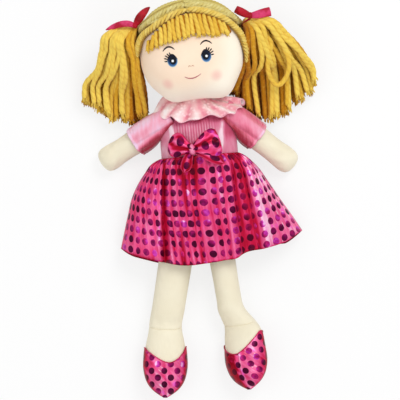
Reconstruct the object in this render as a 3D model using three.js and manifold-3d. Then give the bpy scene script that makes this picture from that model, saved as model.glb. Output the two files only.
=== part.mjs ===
import * as THREE from 'three';
import { mergeVertices } from 'three/addons/utils/BufferGeometryUtils.js';
import Module from 'manifold-3d';

// A stuffed cloth doll in a gathered dress, lying on its back.
// Millimetres: +Y towards the head, +X the doll's own left, +Z its front.
// The origin is on the table, under the middle of the back.

const wasm = await Module();
wasm.setup();

// Fits and cloth
const gap = 0.3; // between pieces that touch
const pressed = 0.5; // depth to which a soft form is flattened by the table
const skin = 1.2; // sewn cover of body, head and limbs
const dressCloth = 0.9; // dress, ribbon and bow cloth

// Torso
const torsoTop = 31;
const torsoBottom = -50;
const torsoHalfWidth = 37;
const torsoHalfDepth = 23;
const shoulderLevel = 18;
const shoulderHalfWidth = 31;
const shoulderGap = 0.7; // room for the arm to swing beside the torso's swell
const seamHalfWidth = 25; // where the legs are sewn in
const seamHalfDepth = 3;
const collarSeatHalfWidth = 13.5; // top of the torso, where the neck is sewn on

// Neck and head
const neckRadius = 10;
const neckRise = 7; // from the torso to the head
const headHalfWidth = 52;
const headHalfHeight = 51;
const headHalfDepth = 37.5;
const headSquareness = 2.3; // exponent of the head's rounded outline
const headTilt = 4.5; // degrees, head leaning to its right
const headSide = 0.7; // head centre from the torso's middle line

// Hair
const capThickness = 3.6;
const faceHalfWidth = 49.5; // opening of the yarn cap
const faceTop = 34;
const faceMiddle = -10;
const capFront = 4; // how far past the side seam the cap comes forward
const nape = 40; // cap ends this far below the head's centre
const fringeStrands = 15;
const fringeHalfWidth = 38;
const fringeLength = 18;
const yarn = 5; // thickness of one hanging strand
const lockRadius = 4.2; // a lock is a few strands lying together
const lockCount = 11; // in each pigtail
const lockLayers = 3;
const bundleRadius = 8; // yarn drawn together at the tie
const tieSlack = 2.8; // the yarn starts to fan out inside the tie
const tieThickness = 1.4;
const ribbonWidth = 6;
const ribbonLongEnd = 26;
const ribbonShortEnd = 19;

// Arms
const armLength = 75;
const armEndRadius = 6; // rounded end sewn to the shoulder
const armHalfWidth = 11.8;
const armHalfDepth = 11;
const handHalfWidth = 13;

// Legs and feet
const hipRollRadius = 4; // gathered seam that both legs hang from
const hipHalfSpacing = 15.75;
const hipShift = -6.25; // lower body lying a little to its right
const legLength = 117.5; // from the leg's pivot to the ankle crease
const legTopRadius = 13;
const rightLegHalfWidth = 16.9;
const leftLegHalfWidth = 13.9;
const leftAnkleAside = 9;
const ankleHalfWidth = 16;
const legHalfDepth = 13.5;
const ankleRadius = 6; // rounded end of the foot at the crease
const footLength = 68.5;
const footHalfWidth = 22.5;
const footHalfDepth = 17.5;
const shoeTop = 19; // from the crease to the edge of the slipper
const throatDepth = 15; // dip of that edge over the instep
const throatHalfWidth = 17;

// Dress
const bodiceEase = 1.1;
const backSlack = 1.4; // the back panel spreads on the table
const waistLevel = -14;
const necklineLevel = 26;
const armholeRadius = 15;
const sleeveLength = 30;
const sleeveTuck = 3; // how far the sleeve's crown runs back over the shoulder
const sleeveRootHalf = 12.4;
const sleeveHemHalf = 15.2;
const collarInner = 14;
const collarHalfWidth = 44;
const collarHalfDepth = 24;
const collarLevel = 34;
const collarSideDrop = -5; // the ruffle stands up beside the chin
const collarFrontDrop = 14;
const collarFlutes = 11;
const fluteDepth = 2;
const skirtHemHalfWidth = 91;
const skirtSideDrop = 87;
const skirtFrontDrop = 110;
const skirtHemHeight = 47; // front hem above the table
const skirtSideHeight = 9; // side seams at the hem
const skirtSwing = 2; // degrees, hem lying a little to the doll's left
const skirtPuff = 6; // fullness lying over the doll's right hip
const skirtFolds = 12; // around the whole hem
const foldDepth = 4.5;
const bowSide = -7;
const bowLevel = -9;
const bowLoopLength = 23;
const bowLoopHalfHeight = 12.5;
const bowLoopHalfDepth = 5;
const bowKnotHalf = 4.5;
const bowTailWidth = 11;
const bowShortTail = 24;
const bowLongTail = 27;
const bowRise = 1.5; // gathers of the skirt under the bow's tails

// Limb directions as the doll lies, in degrees
const right = { side: -1, arm: 62.5, leg: 13.7, foot: -8.7, footTurn: 0, tie: 33 };
const left = { side: 1, arm: 47.5, leg: 4.6, foot: -3.3, footTurn: -30, tie: 20 };

// The right leg lies flat; the left lies on its side, so it shows its narrow way and its ankle bends out
Object.assign(right, { legHalf: rightLegHalfWidth, ankleAside: 0 });
Object.assign(left, { legHalf: leftLegHalfWidth, ankleAside: leftAnkleAside });

// Room at the armhole, where the facets of sleeve and bodice differ
right.sleeveSeam = 0.7;
left.sleeveSeam = 0.9;

// Hanging yarn, measured from the tie: how far out and down its inner and outer locks end
right.yarn = { innerReach: 4, outerReach: 56, innerDrop: 72, outerDrop: 64, middleDrop: 22, throwOut: 34 };
left.yarn = { innerReach: 0, outerReach: 60, innerDrop: 74, outerDrop: 58, middleDrop: 22, throwOut: 36 };

const room = 2 * (legLength + footLength); // larger than any piece

// Facets round a stuffed form
const outerSides = 14;
const innerSides = 10;

// Colours
const flesh = { color: 0xfbe6d0, roughness: 0.85 };
const ivory = { color: 0xf0e6cb, roughness: 0.85 };
const wadding = { color: 0xf7f5ef, roughness: 1 };
const goldYarn = { color: 0xdcb040, roughness: 0.9 };
const crimson = { color: 0xb3162f, roughness: 0.45 };
const pinkSatin = { color: 0xe58aac, roughness: 0.4 };
const palePink = { color: 0xf6c4cf, roughness: 0.35 };
const foilPink = { color: 0xdd4f8b, roughness: 0.3, metalness: 0.3 };

const radians = THREE.MathUtils.degToRad;
const mix = THREE.MathUtils.lerp;
const vec = (x, y, z) => new THREE.Vector3(x, y, z);

// Solids
function toSolid(geometry) {
  const bare = geometry.clone();
  bare.deleteAttribute('normal');
  bare.deleteAttribute('uv');
  const merged = mergeVertices(bare, 1e-5);
  const triVerts = new Uint32Array(merged.index.array);
  const vertProperties = new Float32Array(merged.attributes.position.array);
  return new wasm.Manifold(new wasm.Mesh({ numProp: 3, vertProperties, triVerts }));
}

function fromSolid(solid) {
  const mesh = solid.getMesh();
  const geometry = new THREE.BufferGeometry();
  geometry.setAttribute('position', new THREE.BufferAttribute(mesh.vertProperties, 3));
  geometry.setIndex(new THREE.BufferAttribute(mesh.triVerts, 1));
  geometry.computeVertexNormals();
  return geometry;
}

function cut(geometry, ...tools) {
  return fromSolid(tools.reduce((rest, tool) => rest.subtract(toSolid(tool)), toSolid(geometry)));
}

function join(first, ...others) {
  return fromSolid(others.reduce((sum, other) => sum.add(toSolid(other)), toSolid(first)));
}

function indexed(points, triangles) {
  const geometry = new THREE.BufferGeometry().setFromPoints(points);
  geometry.setIndex(triangles);
  geometry.computeVertexNormals();
  return geometry;
}

// Rings of points joined into one closed skin, with a fan over each end
function loft(rings) {
  const sides = rings[0].length;
  const points = rings.flat();
  const triangles = [];
  for (let i = 0; i + 1 < rings.length; i += 1) {
    for (let j = 0; j < sides; j += 1) {
      const a = i * sides + j;
      const b = i * sides + ((j + 1) % sides);
      triangles.push(a, b, a + sides, b, b + sides, a + sides);
    }
  }
  const middle = (ring) => ring.reduce((sum, p) => sum.add(p), vec(0, 0, 0)).divideScalar(sides);
  const start = points.push(middle(rings[0])) - 1;
  const end = points.push(middle(rings[rings.length - 1])) - 1;
  const lastRing = (rings.length - 1) * sides;
  for (let j = 0; j < sides; j += 1) {
    const next = (j + 1) % sides;
    triangles.push(start, next, j);
    triangles.push(end, lastRing + j, lastRing + next);
  }
  return indexed(points, triangles);
}

// The solid between two surfaces over the same grid. Wrapped grids close on themselves across u.
function slab(top, bottom, columns, rows, wrapped = false) {
  const across = wrapped ? columns : columns + 1;
  const points = [];
  for (const surface of [top, bottom]) {
    for (let i = 0; i <= rows; i += 1) {
      for (let j = 0; j < across; j += 1) points.push(surface(j / columns, i / rows));
    }
  }
  const under = across * (rows + 1);
  const at = (i, j) => i * across + (j % across);
  const triangles = [];
  const quad = (a, b, c, d) => triangles.push(a, b, c, a, c, d);
  for (let j = 0; j < columns; j += 1) {
    for (let i = 0; i < rows; i += 1) {
      const [a, b, c, d] = [at(i, j), at(i, j + 1), at(i + 1, j + 1), at(i + 1, j)];
      quad(a, d, c, b);
      quad(under + a, under + b, under + c, under + d);
    }
    quad(at(0, j), at(0, j + 1), under + at(0, j + 1), under + at(0, j));
    quad(at(rows, j + 1), at(rows, j), under + at(rows, j), under + at(rows, j + 1));
  }
  for (let i = 0; i < rows && !wrapped; i += 1) {
    quad(at(i + 1, 0), at(i, 0), under + at(i, 0), under + at(i + 1, 0));
    quad(at(i, columns), at(i + 1, columns), under + at(i + 1, columns), under + at(i, columns));
  }
  return indexed(points, triangles);
}

// Cloth of even thickness, its outer side on the surface
function clothOn(surface, thickness, columns, rows, wrapped = false) {
  const step = 1e-3;
  const inner = (u, v) => {
    const lowU = wrapped ? u - step : Math.max(0, u - step);
    const highU = wrapped ? u + step : Math.min(1, u + step);
    const alongU = surface(highU, v).sub(surface(lowU, v));
    const alongV = surface(u, Math.min(1, v + step)).sub(surface(u, Math.max(0, v - step)));
    return surface(u, v).addScaledVector(alongU.cross(alongV).normalize(), thickness);
  };
  return slab(surface, inner, columns, rows, wrapped);
}

// Stuffed forms: stations are [distance along, half width, half depth]
function sectionsOf(stations, count) {
  const curve = new THREE.CatmullRomCurve3(stations.map((s) => vec(...s)), false, 'centripetal');
  return curve.getPoints(count);
}

function sectionAt(sections, along) {
  const last = sections.length - 2;
  const below = sections.findLastIndex((s) => s.x <= along);
  const i = Math.min(Math.max(below, 0), last);
  const share = (along - sections[i].x) / (sections[i + 1].x - sections[i].x);
  return sections[i].clone().lerp(sections[i + 1], THREE.MathUtils.clamp(share, 0, 1));
}

// Oval rings along Y, growing by a positive offset and shrinking by a negative one
function stuffed(stations, count, sides, offset = 0, direction = -1) {
  const sections = sectionsOf(stations, count);
  const ends = [sections[0].x - offset, sections[count].x + offset];
  const rings = sections.map((s) => {
    const along = THREE.MathUtils.clamp(s.x, ends[0], ends[1]);
    const width = Math.max(s.y + offset, 0.2);
    const depth = Math.max(s.z + offset, 0.2);
    return oval(width, depth, direction * along, sides);
  });
  rings[0].forEach((p) => p.setY(direction * ends[0]));
  rings[count].forEach((p) => p.setY(direction * ends[1]));
  const kept = rings.filter((ring, i) => i === 0 || Math.abs(ring[0].y - rings[i - 1][0].y) > 1e-6);
  if (direction > 0) kept.reverse();
  return loft(kept);
}

function oval(halfWidth, halfDepth, y, sides) {
  return Array.from({ length: sides }, (_, j) => {
    const angle = (j / sides) * 2 * Math.PI;
    return vec(halfWidth * Math.cos(angle), y, halfDepth * Math.sin(angle));
  });
}

// Cover and filling of one stuffed form, with the hole that it is filled through
function coverOf(stations, fillHole, direction = -1, bend = (form) => form) {
  const outside = bend(stuffed(stations, 10, outerSides, 0, direction));
  const inside = bend(stuffed(stations, 8, innerSides, -skin, direction));
  return cut(outside, inside, fillHole);
}

function fillingOf(stations, direction = -1) {
  return stuffed(stations, 8, innerSides, -skin - gap, direction);
}

function holeAt(y, radius, length) {
  return new THREE.CylinderGeometry(radius, radius, length, 8).translate(0, y, 0);
}

// The table as a block, seen from inside a placed group
function tableFor(group) {
  group.updateWorldMatrix(true, false);
  const size = 3 * room;
  const block = new THREE.BoxGeometry(size, size, size).translate(0, 0, -size / 2);
  return block.applyMatrix4(group.matrixWorld.clone().invert());
}

const doll = new THREE.Group();

function place(parent, name, x, y, z) {
  const group = new THREE.Group();
  group.name = name;
  group.position.set(x, y, z);
  parent.add(group);
  return group;
}

function addPiece(parent, name, geometry, finish) {
  const mesh = new THREE.Mesh(geometry, new THREE.MeshStandardMaterial(finish));
  mesh.name = name;
  parent.add(mesh);
}

// Torso
const torsoLength = torsoTop - torsoBottom;
const torsoMiddle = torsoHalfDepth + bodiceEase + dressCloth; // height above the table
const slopeHalfWidth = mix(shoulderHalfWidth, collarSeatHalfWidth, 0.55); // between shoulder and neck
const torsoStations = [
  [torsoBottom, seamHalfWidth, seamHalfDepth],
  [torsoBottom + 0.05 * torsoLength, mix(seamHalfWidth, torsoHalfWidth, 0.5), 0.4 * torsoHalfDepth],
  [torsoBottom + 0.17 * torsoLength, 0.97 * torsoHalfWidth, 0.74 * torsoHalfDepth],
  [torsoBottom + 0.43 * torsoLength, torsoHalfWidth, torsoHalfDepth],
  [torsoBottom + 0.68 * torsoLength, 0.97 * torsoHalfWidth, 0.98 * torsoHalfDepth],
  [shoulderLevel, shoulderHalfWidth, 0.76 * torsoHalfDepth],
  [mix(shoulderLevel, torsoTop, 0.62), slopeHalfWidth, 0.57 * torsoHalfDepth],
  [torsoTop, collarSeatHalfWidth, 0.48 * torsoHalfDepth],
];
const torsoSections = sectionsOf(torsoStations, 40);
const torso = place(doll, 'torso', 0, 0, torsoMiddle);
const neckHole = holeAt(torsoTop, 0.6 * neckRadius, 4 * skin);
addPiece(torso, 'torso_cover', coverOf(torsoStations, neckHole, 1), ivory);
addPiece(torso, 'torso_stuffing', fillingOf(torsoStations, 1), wadding);

// Neck: a rounded stub whose dome is the ball that the head turns on
const neckTop = torsoTop + neckRise;
const neckPivotY = neckTop - neckRadius;
const neckPivotZ = torsoMiddle + 2;
const neckSeat = torsoTop + gap;
const domeStart = Math.asin((neckSeat - neckPivotY) / neckRadius);
const neckProfile = [new THREE.Vector2(0, neckSeat - neckPivotY)];
const domeSteps = 4;
for (let i = 0; i < domeSteps; i += 1) {
  const angle = mix(domeStart, Math.PI / 2, i / domeSteps);
  neckProfile.push(new THREE.Vector2(neckRadius * Math.cos(angle), neckRadius * Math.sin(angle)));
}
neckProfile.push(new THREE.Vector2(0, neckRadius));
const neck = place(doll, 'neck_pivot', headSide, neckPivotY, neckPivotZ);
addPiece(neck, 'neck', new THREE.LatheGeometry(neckProfile, 12), ivory);

// Head: a rounded block whose underside rests on the neck's dome
const headZ = headHalfDepth + gap + capThickness - pressed;

function headPoint(direction, offset) {
  const half = [headHalfWidth + offset, headHalfHeight + offset, headHalfDepth + offset];
  const size = direction.toArray().reduce((sum, d, k) => sum + Math.abs(d / half[k]) ** headSquareness, 0);
  return direction.clone().multiplyScalar(size ** (-1 / headSquareness));
}

function headForm(offset, around, down) {
  const ball = new THREE.SphereGeometry(1, around, down);
  const place3 = ball.attributes.position;
  for (let i = 0; i < place3.count; i += 1) {
    const p = headPoint(vec(0, 0, 0).fromBufferAttribute(place3, i).normalize(), offset);
    place3.setXYZ(i, p.x, p.y, p.z);
  }
  return ball;
}

// Front of the head over a point of the face
function faceHeight(x, y, offset) {
  const across = Math.abs(x / (headHalfWidth + offset)) ** headSquareness;
  const up = Math.abs(y / (headHalfHeight + offset)) ** headSquareness;
  return (headHalfDepth + offset) * Math.max(0, 1 - across - up) ** (1 / headSquareness);
}

const headDip = (neckPivotZ - headZ) / headHalfDepth; // the neck sits behind the middle of the head
const headReach = headHalfHeight * (1 - Math.abs(headDip) ** headSquareness) ** (1 / headSquareness);
const headY = neckTop + gap + headReach + 0.6;
const head = place(doll, 'head', headSide, headY, headZ);
head.rotation.z = radians(headTilt);

const behind = new THREE.BoxGeometry(room, room, room).translate(0, 0, (gap - room) / 2);
const before = new THREE.BoxGeometry(room, room, room).translate(0, 0, (room - gap) / 2);
const headShell = cut(headForm(0, 20, 12), headForm(-skin, 14, 9));
addPiece(head, 'face_panel', cut(headShell, behind), flesh);
addPiece(head, 'head_back_panel', cut(headShell, before), flesh);
addPiece(head, 'head_stuffing', headForm(-skin - gap, 14, 9), wadding);

// Yarn cap: a shell over crown, sides and back, open round the face and at the nape
const faceShape = new THREE.Shape();
faceShape.absellipse(0, faceMiddle, faceHalfWidth, faceTop - faceMiddle, 0, 2 * Math.PI);
const faceOpening = new THREE.ExtrudeGeometry(faceShape, {
  depth: 2 * headHalfDepth,
  bevelEnabled: false,
  curveSegments: 14,
}).translate(0, 0, capFront);
const napeCut = new THREE.BoxGeometry(room, room, room).translate(0, -nape - room / 2, 0);
const capSkin = cut(headForm(gap + capThickness, 20, 12), headForm(gap, 20, 12));
addPiece(head, 'yarn_cap', cut(capSkin, faceOpening, napeCut, tableFor(head)), goldYarn);

// Fringe: a row of strands lying on the forehead below the cap's edge
function fringeSpot(u, v) {
  const x = mix(-fringeHalfWidth, fringeHalfWidth, u);
  const hairline = faceMiddle + (faceTop - faceMiddle) * Math.sqrt(1 - (x / faceHalfWidth) ** 2);
  const strand = Math.abs(Math.cos(Math.PI * fringeStrands * (u - 0.5 / fringeStrands)));
  const length = fringeLength - 2.5 * (1 - strand);
  return { x, y: hairline - 2 * gap - v * length, strand };
}
const fringeTop = (u, v) => {
  const { x, y, strand } = fringeSpot(u, v);
  return vec(x, y, faceHeight(x, y, 2 * gap + yarn * (0.45 + 0.35 * strand)));
};
const fringeUnder = (u, v) => {
  const { x, y } = fringeSpot(u, v);
  return vec(x, y, faceHeight(x, y, 2 * gap));
};
addPiece(head, 'fringe', slab(fringeTop, fringeUnder, 4 * fringeStrands, 2), goldYarn);

// Pigtails: locks of yarn drawn together at a tie and fanning down to the table
function tubeAlong(curve, radius, steps, sides) {
  const circle = new THREE.Shape();
  circle.absarc(0, 0, radius, 0, 2 * Math.PI);
  const section = new THREE.Shape(circle.getSpacedPoints(sides).slice(0, sides));
  return new THREE.ExtrudeGeometry(section, { steps, extrudePath: curve, bevelEnabled: false });
}

function ringAbout(direction, centre, inner, thickness, width) {
  const profile = [
    new THREE.Vector2(inner, -width / 2),
    new THREE.Vector2(inner + thickness, -width / 2),
    new THREE.Vector2(inner + thickness, width / 2),
    new THREE.Vector2(inner, width / 2),
    new THREE.Vector2(inner, -width / 2),
  ];
  const ring = new THREE.LatheGeometry(profile, 12);
  const turn = new THREE.Quaternion().setFromUnitVectors(vec(0, 1, 0), direction);
  return ring.applyQuaternion(turn).translate(...centre.toArray());
}

function addPigtail(limb, name) {
  const { side, yarn: hang } = limb;
  const out = vec(side * Math.cos(radians(limb.tie)), Math.sin(radians(limb.tie)), 0);
  const surface = headPoint(out, gap + capThickness).length();
  const pivot = out.clone().multiplyScalar(surface + gap + bundleRadius);
  const group = place(head, `pigtail_${name}`, ...pivot.toArray());
  const leave = vec(side * 0.8, -0.6, 0);
  const locks = [];
  for (let i = 0; i < lockCount; i += 1) {
    const share = i / (lockCount - 1);
    const layer = (i * 2) % lockLayers;
    const spread = side * (0.5 - share) * (bundleRadius - lockRadius);
    const aside = vec(leave.y, -leave.x, 0).multiplyScalar(spread);
    const reach = side * mix(hang.innerReach, hang.outerReach, share);
    const bulge = 4 * share * (1 - share) * hang.middleDrop;
    const drop = mix(hang.innerDrop, hang.outerDrop, share) + bulge;
    const lying = lockRadius - 2 * pressed + 1.7 * layer * lockRadius - headZ;
    const bend = leave.clone().multiplyScalar(hang.throwOut * (0.75 + 0.5 * share));
    const curve = new THREE.CubicBezierCurve3(
      aside,
      aside.clone().add(bend),
      vec(mix(bend.x, reach, 0.75), -0.55 * drop, 0.8 * lying),
      vec(reach, -drop, lying),
    );
    locks.push(tubeAlong(curve, lockRadius, 6, 5));
  }
  const root = new THREE.SphereGeometry(bundleRadius, 10, 6);
  const yarnMass = cut(join(root, ...locks), tableFor(group));
  addPiece(group, `${name}_pigtail`, yarnMass, goldYarn);
  const tieAt = leave.clone().multiplyScalar(bundleRadius + ribbonWidth / 2);
  const tieInner = bundleRadius + gap + tieSlack;
  const band = ringAbout(leave, tieAt, tieInner, tieThickness, 0.6 * ribbonWidth);
  addPiece(group, `${name}_hair_tie`, band, crimson);
  const ribbon = ribbonOn(limb, leave, tieAt, tieInner + tieThickness + gap);
  addPiece(group, `${name}_hair_ribbon`, ribbon, crimson);
}

// Ribbon: a band over the tie, knotted in front, with two short ends
function ribbonOn({ side }, leave, tieAt, inner) {
  const band = ringAbout(leave, tieAt, inner, dressCloth, ribbonWidth);
  const knotHalf = 0.6 * ribbonWidth;
  const knotAt = tieAt.clone().add(vec(0, 0, inner + knotHalf));
  const knot = new THREE.SphereGeometry(knotHalf, 8, 5).translate(...knotAt.toArray());
  const ends = [
    { along: vec(side * 0.99, 0.14, 0), length: ribbonLongEnd },
    { along: vec(-side * 0.64, 0.77, 0), length: ribbonShortEnd },
  ].map(({ along, length }) => {
    const across = vec(-along.y, along.x, 0).multiplyScalar(side);
    const surface = (u, v) => {
      const half = mix(0.45, 0.85, Math.sin(Math.PI * (0.15 + 0.6 * v))) * ribbonWidth;
      const lift = 2 * Math.sin(Math.PI * v) - 3 * v;
      const p = knotAt.clone().addScaledVector(along, v * length);
      p.addScaledVector(across, (u - 0.5) * 2 * half);
      return p.add(vec(0, 0, lift + 1.5 * Math.cos(2 * Math.PI * (u - 0.5))));
    };
    return clothOn(surface, dressCloth, 3, 4);
  });
  return join(band, knot, ...ends);
}

addPigtail(right, 'right');
addPigtail(left, 'left');

// Arms: stuffed tubes ending in mitten hands, each turning on its rounded shoulder end
const armStations = [
  [-0.97 * armEndRadius, 0.2 * armEndRadius, 0.2 * armEndRadius],
  [-0.7 * armEndRadius, 0.7 * armEndRadius, 0.7 * armEndRadius],
  [0, armEndRadius, armEndRadius],
  [0.13 * armLength, mix(armEndRadius, armHalfWidth, 0.45), mix(armEndRadius, armHalfDepth, 0.45)],
  [0.3 * armLength, armHalfWidth, armHalfDepth],
  [0.6 * armLength, armHalfWidth, armHalfDepth],
  [0.8 * armLength, handHalfWidth, 1.06 * armHalfDepth],
  [0.92 * armLength, 0.8 * handHalfWidth, 0.88 * armHalfDepth],
  [0.985 * armLength, 0.36 * handHalfWidth, 0.42 * armHalfDepth],
  [armLength, 0.06 * handHalfWidth, 0.08 * armHalfDepth],
];
const shoulderX = shoulderHalfWidth + shoulderGap + armEndRadius;
const handLift = 1.06 * armHalfDepth - pressed;
const armDip = Math.asin((torsoMiddle - handLift) / (0.8 * armLength));

// Side of the bodice at a height and depth of the torso
function bodiceSide(y, z) {
  const section = sectionAt(torsoSections, y);
  const inside = Math.max(0.1, 1 - (z / (section.z + bodiceEase + dressCloth)) ** 2);
  return (section.y + bodiceEase + dressCloth) * Math.sqrt(inside);
}

function addArm({ side, arm, sleeveSeam }, name) {
  const group = place(doll, `shoulder_${name}`, side * shoulderX, shoulderLevel, torsoMiddle);
  group.rotation.set(armDip, 0, side * radians(arm), 'ZXY');
  const table = tableFor(group);
  const fillHole = holeAt(armEndRadius, 0.45 * armEndRadius, 3 * armEndRadius);
  addPiece(group, `${name}_arm_cover`, cut(coverOf(armStations, fillHole), table), ivory);
  addPiece(group, `${name}_arm_stuffing`, cut(fillingOf(armStations), table), wadding);

  // Sleeve: a flared tube from the slanting armhole to the hem
  const toDoll = group.matrixWorld;
  const surface = (u, v) => {
    const angle = 2 * Math.PI * u;
    const flute = 0.6 * v * Math.cos(8 * angle);
    const half = mix(sleeveRootHalf, sleeveHemHalf, v) + flute;
    const point = (along) => vec(half * Math.cos(angle), -along, half * Math.sin(angle));
    let start = 0;
    for (let i = 0; i < 12; i += 1) {
      const p = point(start).applyMatrix4(toDoll);
      start += 0.7 * (bodiceSide(p.y, p.z - torsoMiddle) + sleeveSeam - side * p.x);
    }
    return point(mix(Math.max(start, -sleeveTuck), sleeveLength, v));
  };
  addPiece(group, `${name}_sleeve`, clothOn(surface, dressCloth, 24, 3, true), pinkSatin);
}

addArm(right, 'right');
addArm(left, 'left');

// Hip seam: the gathered roll between torso and legs
const hipY = torsoBottom - gap - hipRollRadius;
const hipHalfLength = hipHalfSpacing + legTopRadius;
const hip = place(doll, 'hip', hipShift, hipY, torsoMiddle);
const roll = new THREE.CylinderGeometry(hipRollRadius, hipRollRadius, 2 * hipHalfLength, 14);
addPiece(hip, 'hip_seam', roll.rotateZ(Math.PI / 2), ivory);

// Legs: flat where they are sewn in, round below, pinched again at the ankle crease
const legEnd = legLength - ankleRadius - gap;
const topArc = (share) => legTopRadius * Math.sqrt(1 - share * share);
const legStationsOf = (legHalf) => [
  [-0.97 * legTopRadius, topArc(0.97), 0.17 * legHalfDepth],
  [-0.85 * legTopRadius, topArc(0.85), 0.24 * legHalfDepth],
  [-0.5 * legTopRadius, topArc(0.5), 0.38 * legHalfDepth],
  [0, legTopRadius, 0.58 * legHalfDepth],
  [0.14 * legLength, 0.95 * legHalf, 0.9 * legHalfDepth],
  [0.34 * legLength, legHalf, legHalfDepth],
  [0.7 * legLength, legHalf, legHalfDepth],
  [legEnd - 0.6 * legHalfDepth, legHalf, 0.9 * legHalfDepth],
  [legEnd - 0.15 * legHalfDepth, 0.98 * legHalf, 0.65 * legHalfDepth],
  [legEnd, 0.92 * legHalf, 0.42 * legHalfDepth],
];
const footStations = [
  [-0.92 * ankleRadius, 0.3 * ankleHalfWidth, 0.35 * ankleRadius],
  [-0.6 * ankleRadius, 0.74 * ankleHalfWidth, 0.78 * ankleRadius],
  [0, ankleHalfWidth, ankleRadius],
  [0.12 * footLength, mix(ankleHalfWidth, footHalfWidth, 0.35), mix(ankleRadius, footHalfDepth, 0.42)],
  [0.29 * footLength, mix(ankleHalfWidth, footHalfWidth, 0.78), 0.88 * footHalfDepth],
  [0.5 * footLength, footHalfWidth, footHalfDepth],
  [0.64 * footLength, 0.99 * footHalfWidth, 0.94 * footHalfDepth],
  [0.77 * footLength, 0.86 * footHalfWidth, 0.8 * footHalfDepth],
  [0.88 * footLength, 0.65 * footHalfWidth, 0.57 * footHalfDepth],
  [0.965 * footLength, 0.34 * footHalfWidth, 0.28 * footHalfDepth],
  [footLength, 0.05 * footHalfWidth, 0.06 * footHalfDepth],
];

// Moves the lower end of a leg sideways, to meet a foot that lies beside the leg's line
function bentAside(geometry, aside) {
  const points = geometry.attributes.position;
  for (let i = 0; i < points.count; i += 1) {
    const share = THREE.MathUtils.smoothstep(-points.getY(i), 0.72 * legLength, 0.97 * legLength);
    points.setX(i, points.getX(i) + aside * share);
  }
  geometry.computeVertexNormals();
  return geometry;
}
const legTopGap = hipRollRadius + gap + legTopRadius;
const instepRise = 3; // the foot lifts this much from the crease to its widest place

// Everything above the slipper's edge: straight across behind, dipping over the instep in front
function aboveSlipper() {
  const flat = new THREE.BoxGeometry(room, room, room).translate(0, room / 2 - shoeTop, 0);
  const dip = new THREE.Shape();
  dip.moveTo(-throatHalfWidth, 1 - shoeTop);
  dip.lineTo(-throatHalfWidth, -shoeTop);
  dip.bezierCurveTo(
    -0.85 * throatHalfWidth, -shoeTop - 0.8 * throatDepth,
    -0.45 * throatHalfWidth, -shoeTop - throatDepth,
    0, -shoeTop - throatDepth,
  );
  dip.bezierCurveTo(
    0.45 * throatHalfWidth, -shoeTop - throatDepth,
    0.85 * throatHalfWidth, -shoeTop - 0.8 * throatDepth,
    throatHalfWidth, -shoeTop,
  );
  dip.lineTo(throatHalfWidth, 1 - shoeTop);
  dip.closePath();
  const notch = new THREE.ExtrudeGeometry(dip, { depth: room, bevelEnabled: false, curveSegments: 6 });
  return [flat, notch];
}

function addLeg({ side, leg, legHalf, ankleAside, foot, footTurn }, name) {
  const turn = radians(footTurn);
  const footLift = Math.hypot(footHalfDepth * Math.cos(turn), footHalfWidth * Math.sin(turn)) - pressed;
  const ankleLift = footLift - instepRise;
  const legDip = Math.asin((torsoMiddle - ankleLift) / (legTopGap + legLength));
  const footRise = Math.asin(instepRise / (0.5 * footLength));
  const pivot = place(hip, `leg_${name}`, side * hipHalfSpacing, -legTopGap, 0);
  pivot.position.z = -legTopGap * Math.sin(legDip);
  pivot.rotation.set(legDip, 0, side * radians(leg), 'ZXY');
  const slot = holeAt(legTopRadius, 0.12 * legTopRadius, 2 * legTopRadius);
  const stations = legStationsOf(legHalf);
  const aside = side * ankleAside;
  const bend = (form) => bentAside(form, aside);
  addPiece(pivot, `${name}_leg_cover`, coverOf(stations, slot, -1, bend), ivory);
  addPiece(pivot, `${name}_leg_stuffing`, bend(fillingOf(stations)), wadding);

  const ankle = place(pivot, `ankle_${name}`, aside, -legLength, 0);
  ankle.rotation.set(-legDip - footRise, side * turn, side * radians(foot), 'ZXY');
  const table = tableFor(ankle);
  const footSkin = footStations.map(([along, half, depth]) => {
    const inShoe = along > 0 ? dressCloth + gap : 0;
    const shorter = along > 0.85 * footLength ? inShoe : 0;
    return [along - shorter, Math.max(half - inShoe, 0.5), Math.max(depth - inShoe, 0.5)];
  });
  const fillHole = holeAt(ankleRadius, 0.25 * ankleRadius, 3 * ankleRadius);
  addPiece(ankle, `${name}_foot_cover`, cut(coverOf(footSkin, fillHole), table), ivory);
  addPiece(ankle, `${name}_foot_stuffing`, cut(fillingOf(footSkin), table), wadding);

  // Slipper: two panels sewn together down the middle
  const outside = stuffed(footStations, 10, outerSides);
  const inside = stuffed(footStations, 10, outerSides, -dressCloth);
  const slipper = cut(outside, inside, ...aboveSlipper(), table);
  const half = (toward) => {
    return new THREE.BoxGeometry(room, room, room).translate(toward * (room - gap) / 2, 0, 0);
  };
  addPiece(ankle, `${name}_slipper_inner`, cut(slipper, half(side)), foilPink);
  addPiece(ankle, `${name}_slipper_outer`, cut(slipper, half(-side)), foilPink);
}

addLeg(right, 'right');
addLeg(left, 'left');

// Bodice: front and back panels round the torso, open at neck, waist and armholes
function bodiceSurface(u, v) {
  const angle = -2 * Math.PI * u;
  const y = mix(necklineLevel, waistLevel, v);
  const section = sectionAt(torsoSections, y);
  const grow = bodiceEase + dressCloth;
  const slack = Math.sin(angle) < 0 ? backSlack * Math.min(1, 2 * v) : 0;
  const depth = section.z + grow + slack;
  const z = Math.max(-torsoMiddle, depth * Math.sin(angle));
  return vec((section.y + grow) * Math.cos(angle), y, z);
}
const armholes = [-1, 1].map((side) => {
  return new THREE.SphereGeometry(armholeRadius, 12, 8).translate(side * shoulderX, shoulderLevel, 0);
});
const bodice = cut(clothOn(bodiceSurface, dressCloth, 24, 5, true), ...armholes);
addPiece(torso, 'bodice_front', cut(bodice, behind), pinkSatin);
addPiece(torso, 'bodice_back', cut(bodice, before), pinkSatin);

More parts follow.
